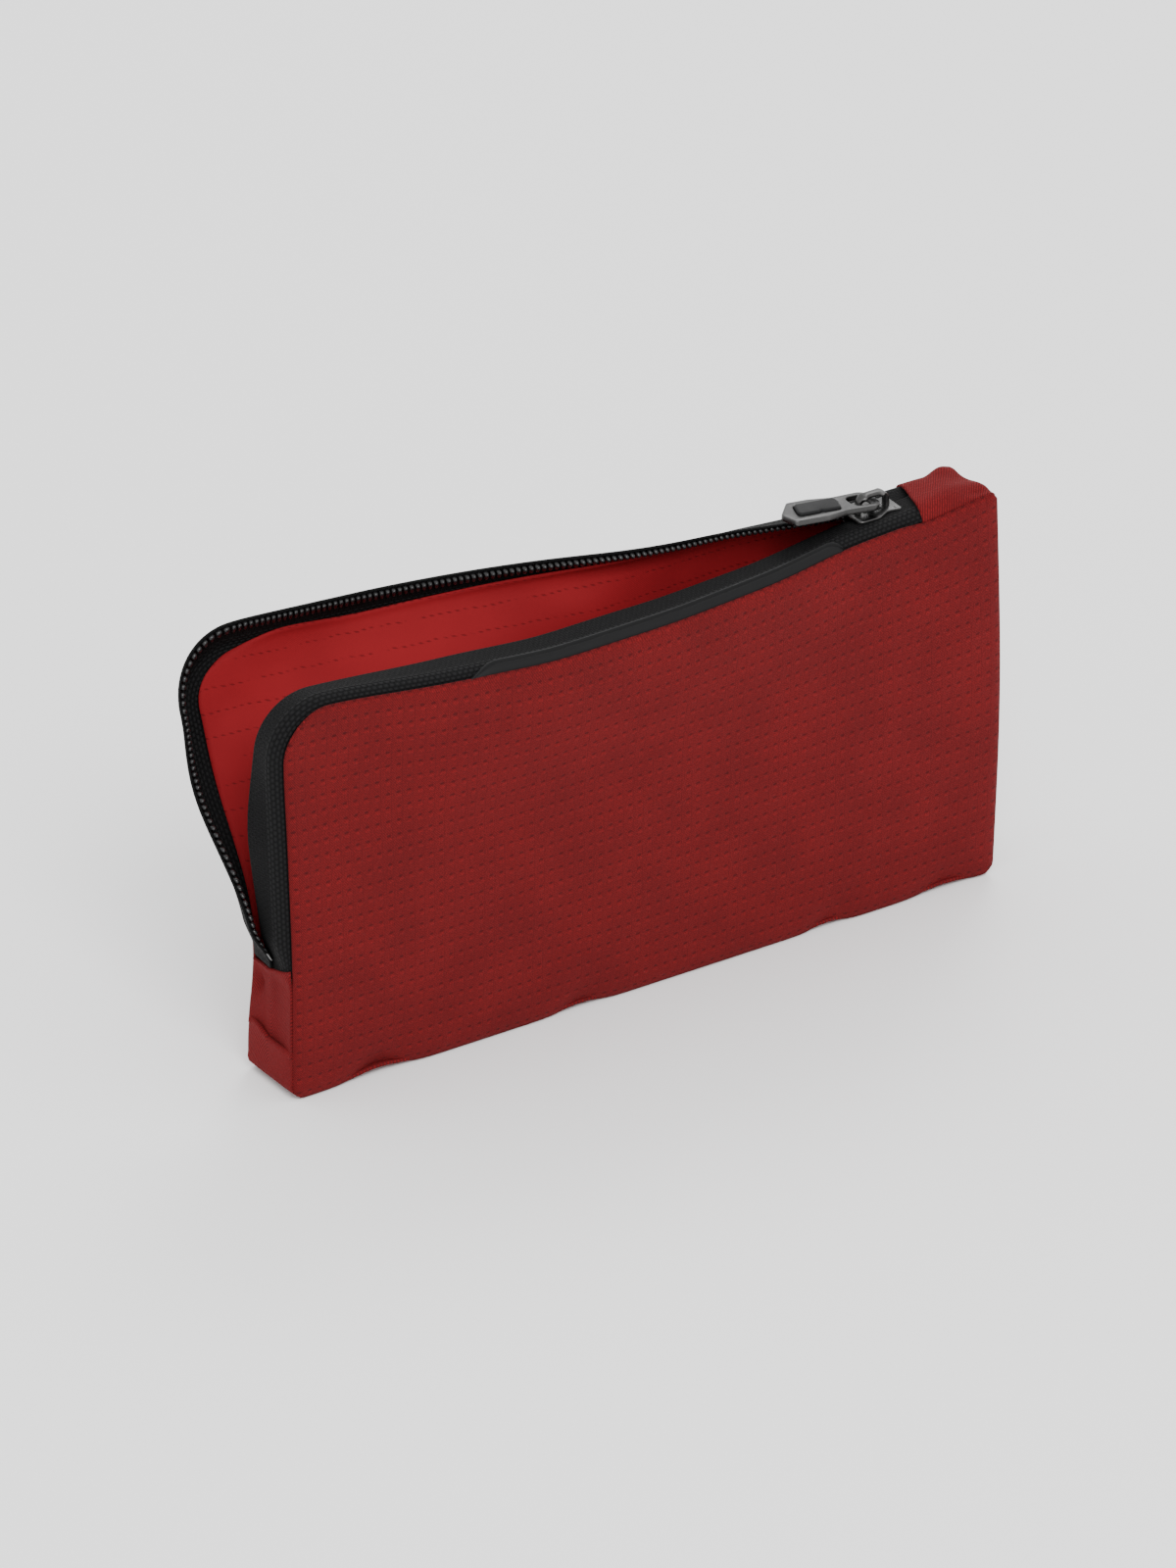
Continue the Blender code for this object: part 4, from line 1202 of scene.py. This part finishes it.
def buildGloves():
    # four folded layers with soft rounded folds
    low, high = cadBox("glove_packet")
    parts, layers = [], 4
    pitch = (high[1] - low[1]) / layers
    for n in range(layers):
        floor, top = low[2] + 0.3, high[2] - 0.5 * (n % 3) - 0.3
        x, z = flatGrid(low[0] + 0.4 + 0.3 * n, high[0] - 0.4, floor, top, 26, 22)
        edge = np.minimum(np.minimum(x - x.min(), x.max() - x), np.minimum(z - z.min(), z.max() - z))
        full = (pitch - 0.35) * (0.25 + 0.75 * np.sqrt(np.clip(edge / 2.2, 0, 1)))
        y = low[1] + pitch * (n + 0.5) + 0.15 * crease(x * 2, z * 2, 40 + n)
        grid = np.stack([x, y, z], -1)
        parts.append(shellData(grid, full, grid)[:2])
    gloves = makePiece("foldedGloves", *joinParts(parts), finishes["nitrile"])
    attach(gloves, "pouch", "nitrile", "glove_packet")


def buildTweezers():
    # two sprung arms joined at the heel, ribbed where they are held
    low, high = cadBox("tweezers")
    middle = (low[2] + high[2]) / 2
    parts = []
    for side in (-1, 1):
        loops = []
        for x in np.linspace(low[0] + 0.3, high[0] - 0.3, 90):
            heel = (high[0] - x) / (high[0] - low[0])
            lean = side * (0.5 + 3.2 * sin(pi * min(1.0, heel * 1.02)) ** 0.8 + 0.35 * heel)
            tall = 0.5 + 1.7 * smoothstep((1 - heel) / 0.7)
            ribs = 0.10 * sin(2 * pi * x / 1.3) * float(bump(x, 18.0, 8.0))
            across, rise = softOval(0.5 + ribs, tall, 0.6, 0.5)
            loops.append(np.column_stack([np.full(16, x), lean + across, middle + rise]))
        parts.append(loftData(loops))
    arms = makePiece("tweezerArms", *joinParts(parts), finishes["steel"], sharp=50)
    attach(arms, "pouch", "tool_steel", "tweezers")


gauzeRoll = {"core": 0.9, "layers": 9, "bands": 24, "ridge": 0.02}
crepeRoll = {"core": 0.9, "layers": 7, "bands": 40, "ridge": 0.07}
tapeRoll = {"core": 3.2, "layers": 6, "bands": 6, "ridge": 0.01}
rollLooks = {
    "gauzeBandage": ("bandage_roll", "gauze", "gauze", gauzeRoll),
    "crepeBandage": ("elastic_bandage_roll", "crepe", "gauze", crepeRoll),
    "adhesiveRoll": ("adhesive_tape_roll", "paper", "paper", tapeRoll),
}
packetLook = {"border": 0.35, "crimp": 3.0, "shoulder": 9.0, "crumple": 0.25, "fine": 2.0,
              "pinked": 0.28, "seed": 1}
cardEdges = {"border": 3.2, "crimp": 0.2, "shoulder": 3.0, "crumple": 0.12}
packetLooks = {
    "plasterPacket": ("plaster_packet", "card", "plaster_card", {**packetLook, **cardEdges}),
    "foilBlanket": ("foil_blanket_packet", "foil", "foil", dict(packetLook, crumple=1.3, fine=3.2, seed=4)),
}
for number in (1, 2, 3):
    sachetLook = dict(packetLook, seed=10 + number)
    packetLooks[f"gauzeSachet{number}"] = (f"gauze_sachet_{number}", "paper", "paper", sachetLook)
    if number < 3:
        wipeLook = dict(sachetLook, crumple=0.35, fine=3.0)
        packetLooks[f"wipeSachet{number}"] = (f"wipe_sachet_{number}", "foil", "paper", wipeLook)
for name, (node, finish, slot, look) in rollLooks.items():
    buildRoll(name, node, finish, slot, look)
for name, (node, finish, slot, look) in packetLooks.items():
    buildPacket(name, node, finish, slot, look)
buildGloves()
buildTweezers()
print("supplies packed")


cameraLook = {"azimuth": -33.68, "elevation": 28.7, "distance": 4.0, "lens": 387.6,
              "target": (0.0, 0.0, 0.050), "shiftRight": -0.00863, "shiftUp": -0.00011}


def buildCamera():
    azimuth, elevation = radians(cameraLook["azimuth"]), radians(cameraLook["elevation"])
    back = Vector((sin(azimuth) * cos(elevation), -cos(azimuth) * cos(elevation), sin(elevation)))
    right = Vector((cos(azimuth), sin(azimuth), 0))
    up = back.cross(right)
    target = Vector(cameraLook["target"]) + right * cameraLook["shiftRight"] + up * cameraLook["shiftUp"]
    data = bpy.data.cameras.new("camera")
    data.lens, data.sensor_width = cameraLook["lens"], 36.0
    data.clip_start, data.clip_end = 0.05, 50.0
    camera = bpy.data.objects.new("camera", data)
    camera.location = target + back * cameraLook["distance"]
    camera.rotation_mode = "QUATERNION"
    camera.rotation_quaternion = (-back).to_track_quat("-Z", "Y")
    bpy.context.scene.collection.objects.link(camera)
    bpy.context.scene.camera = camera


def buildFloor():
    size = 6.0
    mesh = bpy.data.meshes.new("floor")
    corners = [(-size, -size, 0), (size, -size, 0), (size, size, 0), (-size, size, 0)]
    mesh.from_pydata(corners, [], [(0, 1, 2, 3)])
    paleFloor = {"Base Color": (0.93, 0.93, 0.93, 1), "Roughness": 0.9}
    mesh.materials.append(emptyMaterial("paleFloor", paleFloor)[0])
    floor = bpy.data.objects.new("floor", mesh)
    floor.location.z = -0.0005
    bpy.context.scene.collection.objects.link(floor)


def addLight(name, place, size, power, aim=(0, 0, 0.05)):
    data = bpy.data.lights.new(name, "AREA")
    data.shape, data.size, data.energy = "DISK", size, power
    light = bpy.data.objects.new(name, data)
    light.location = place
    light.rotation_mode = "QUATERNION"
    light.rotation_quaternion = (Vector(aim) - Vector(place)).to_track_quat("-Z", "Y")
    bpy.context.scene.collection.objects.link(light)


def buildLights():
    world = bpy.data.worlds.new("studio")
    world.use_nodes = True
    backdrop = world.node_tree.nodes["Background"]
    backdrop.inputs["Color"].default_value = (1.0, 1.0, 1.0, 1.0)
    backdrop.inputs["Strength"].default_value = 1.5
    bpy.context.scene.world = world
    addLight("keyLight", (-0.5, -1.3, 1.5), 0.9, 26.0)
    addLight("rimLight", (0.9, 0.9, 1.2), 0.7, 9.0)


buildCamera()
buildFloor()
buildLights()
print("stage set")
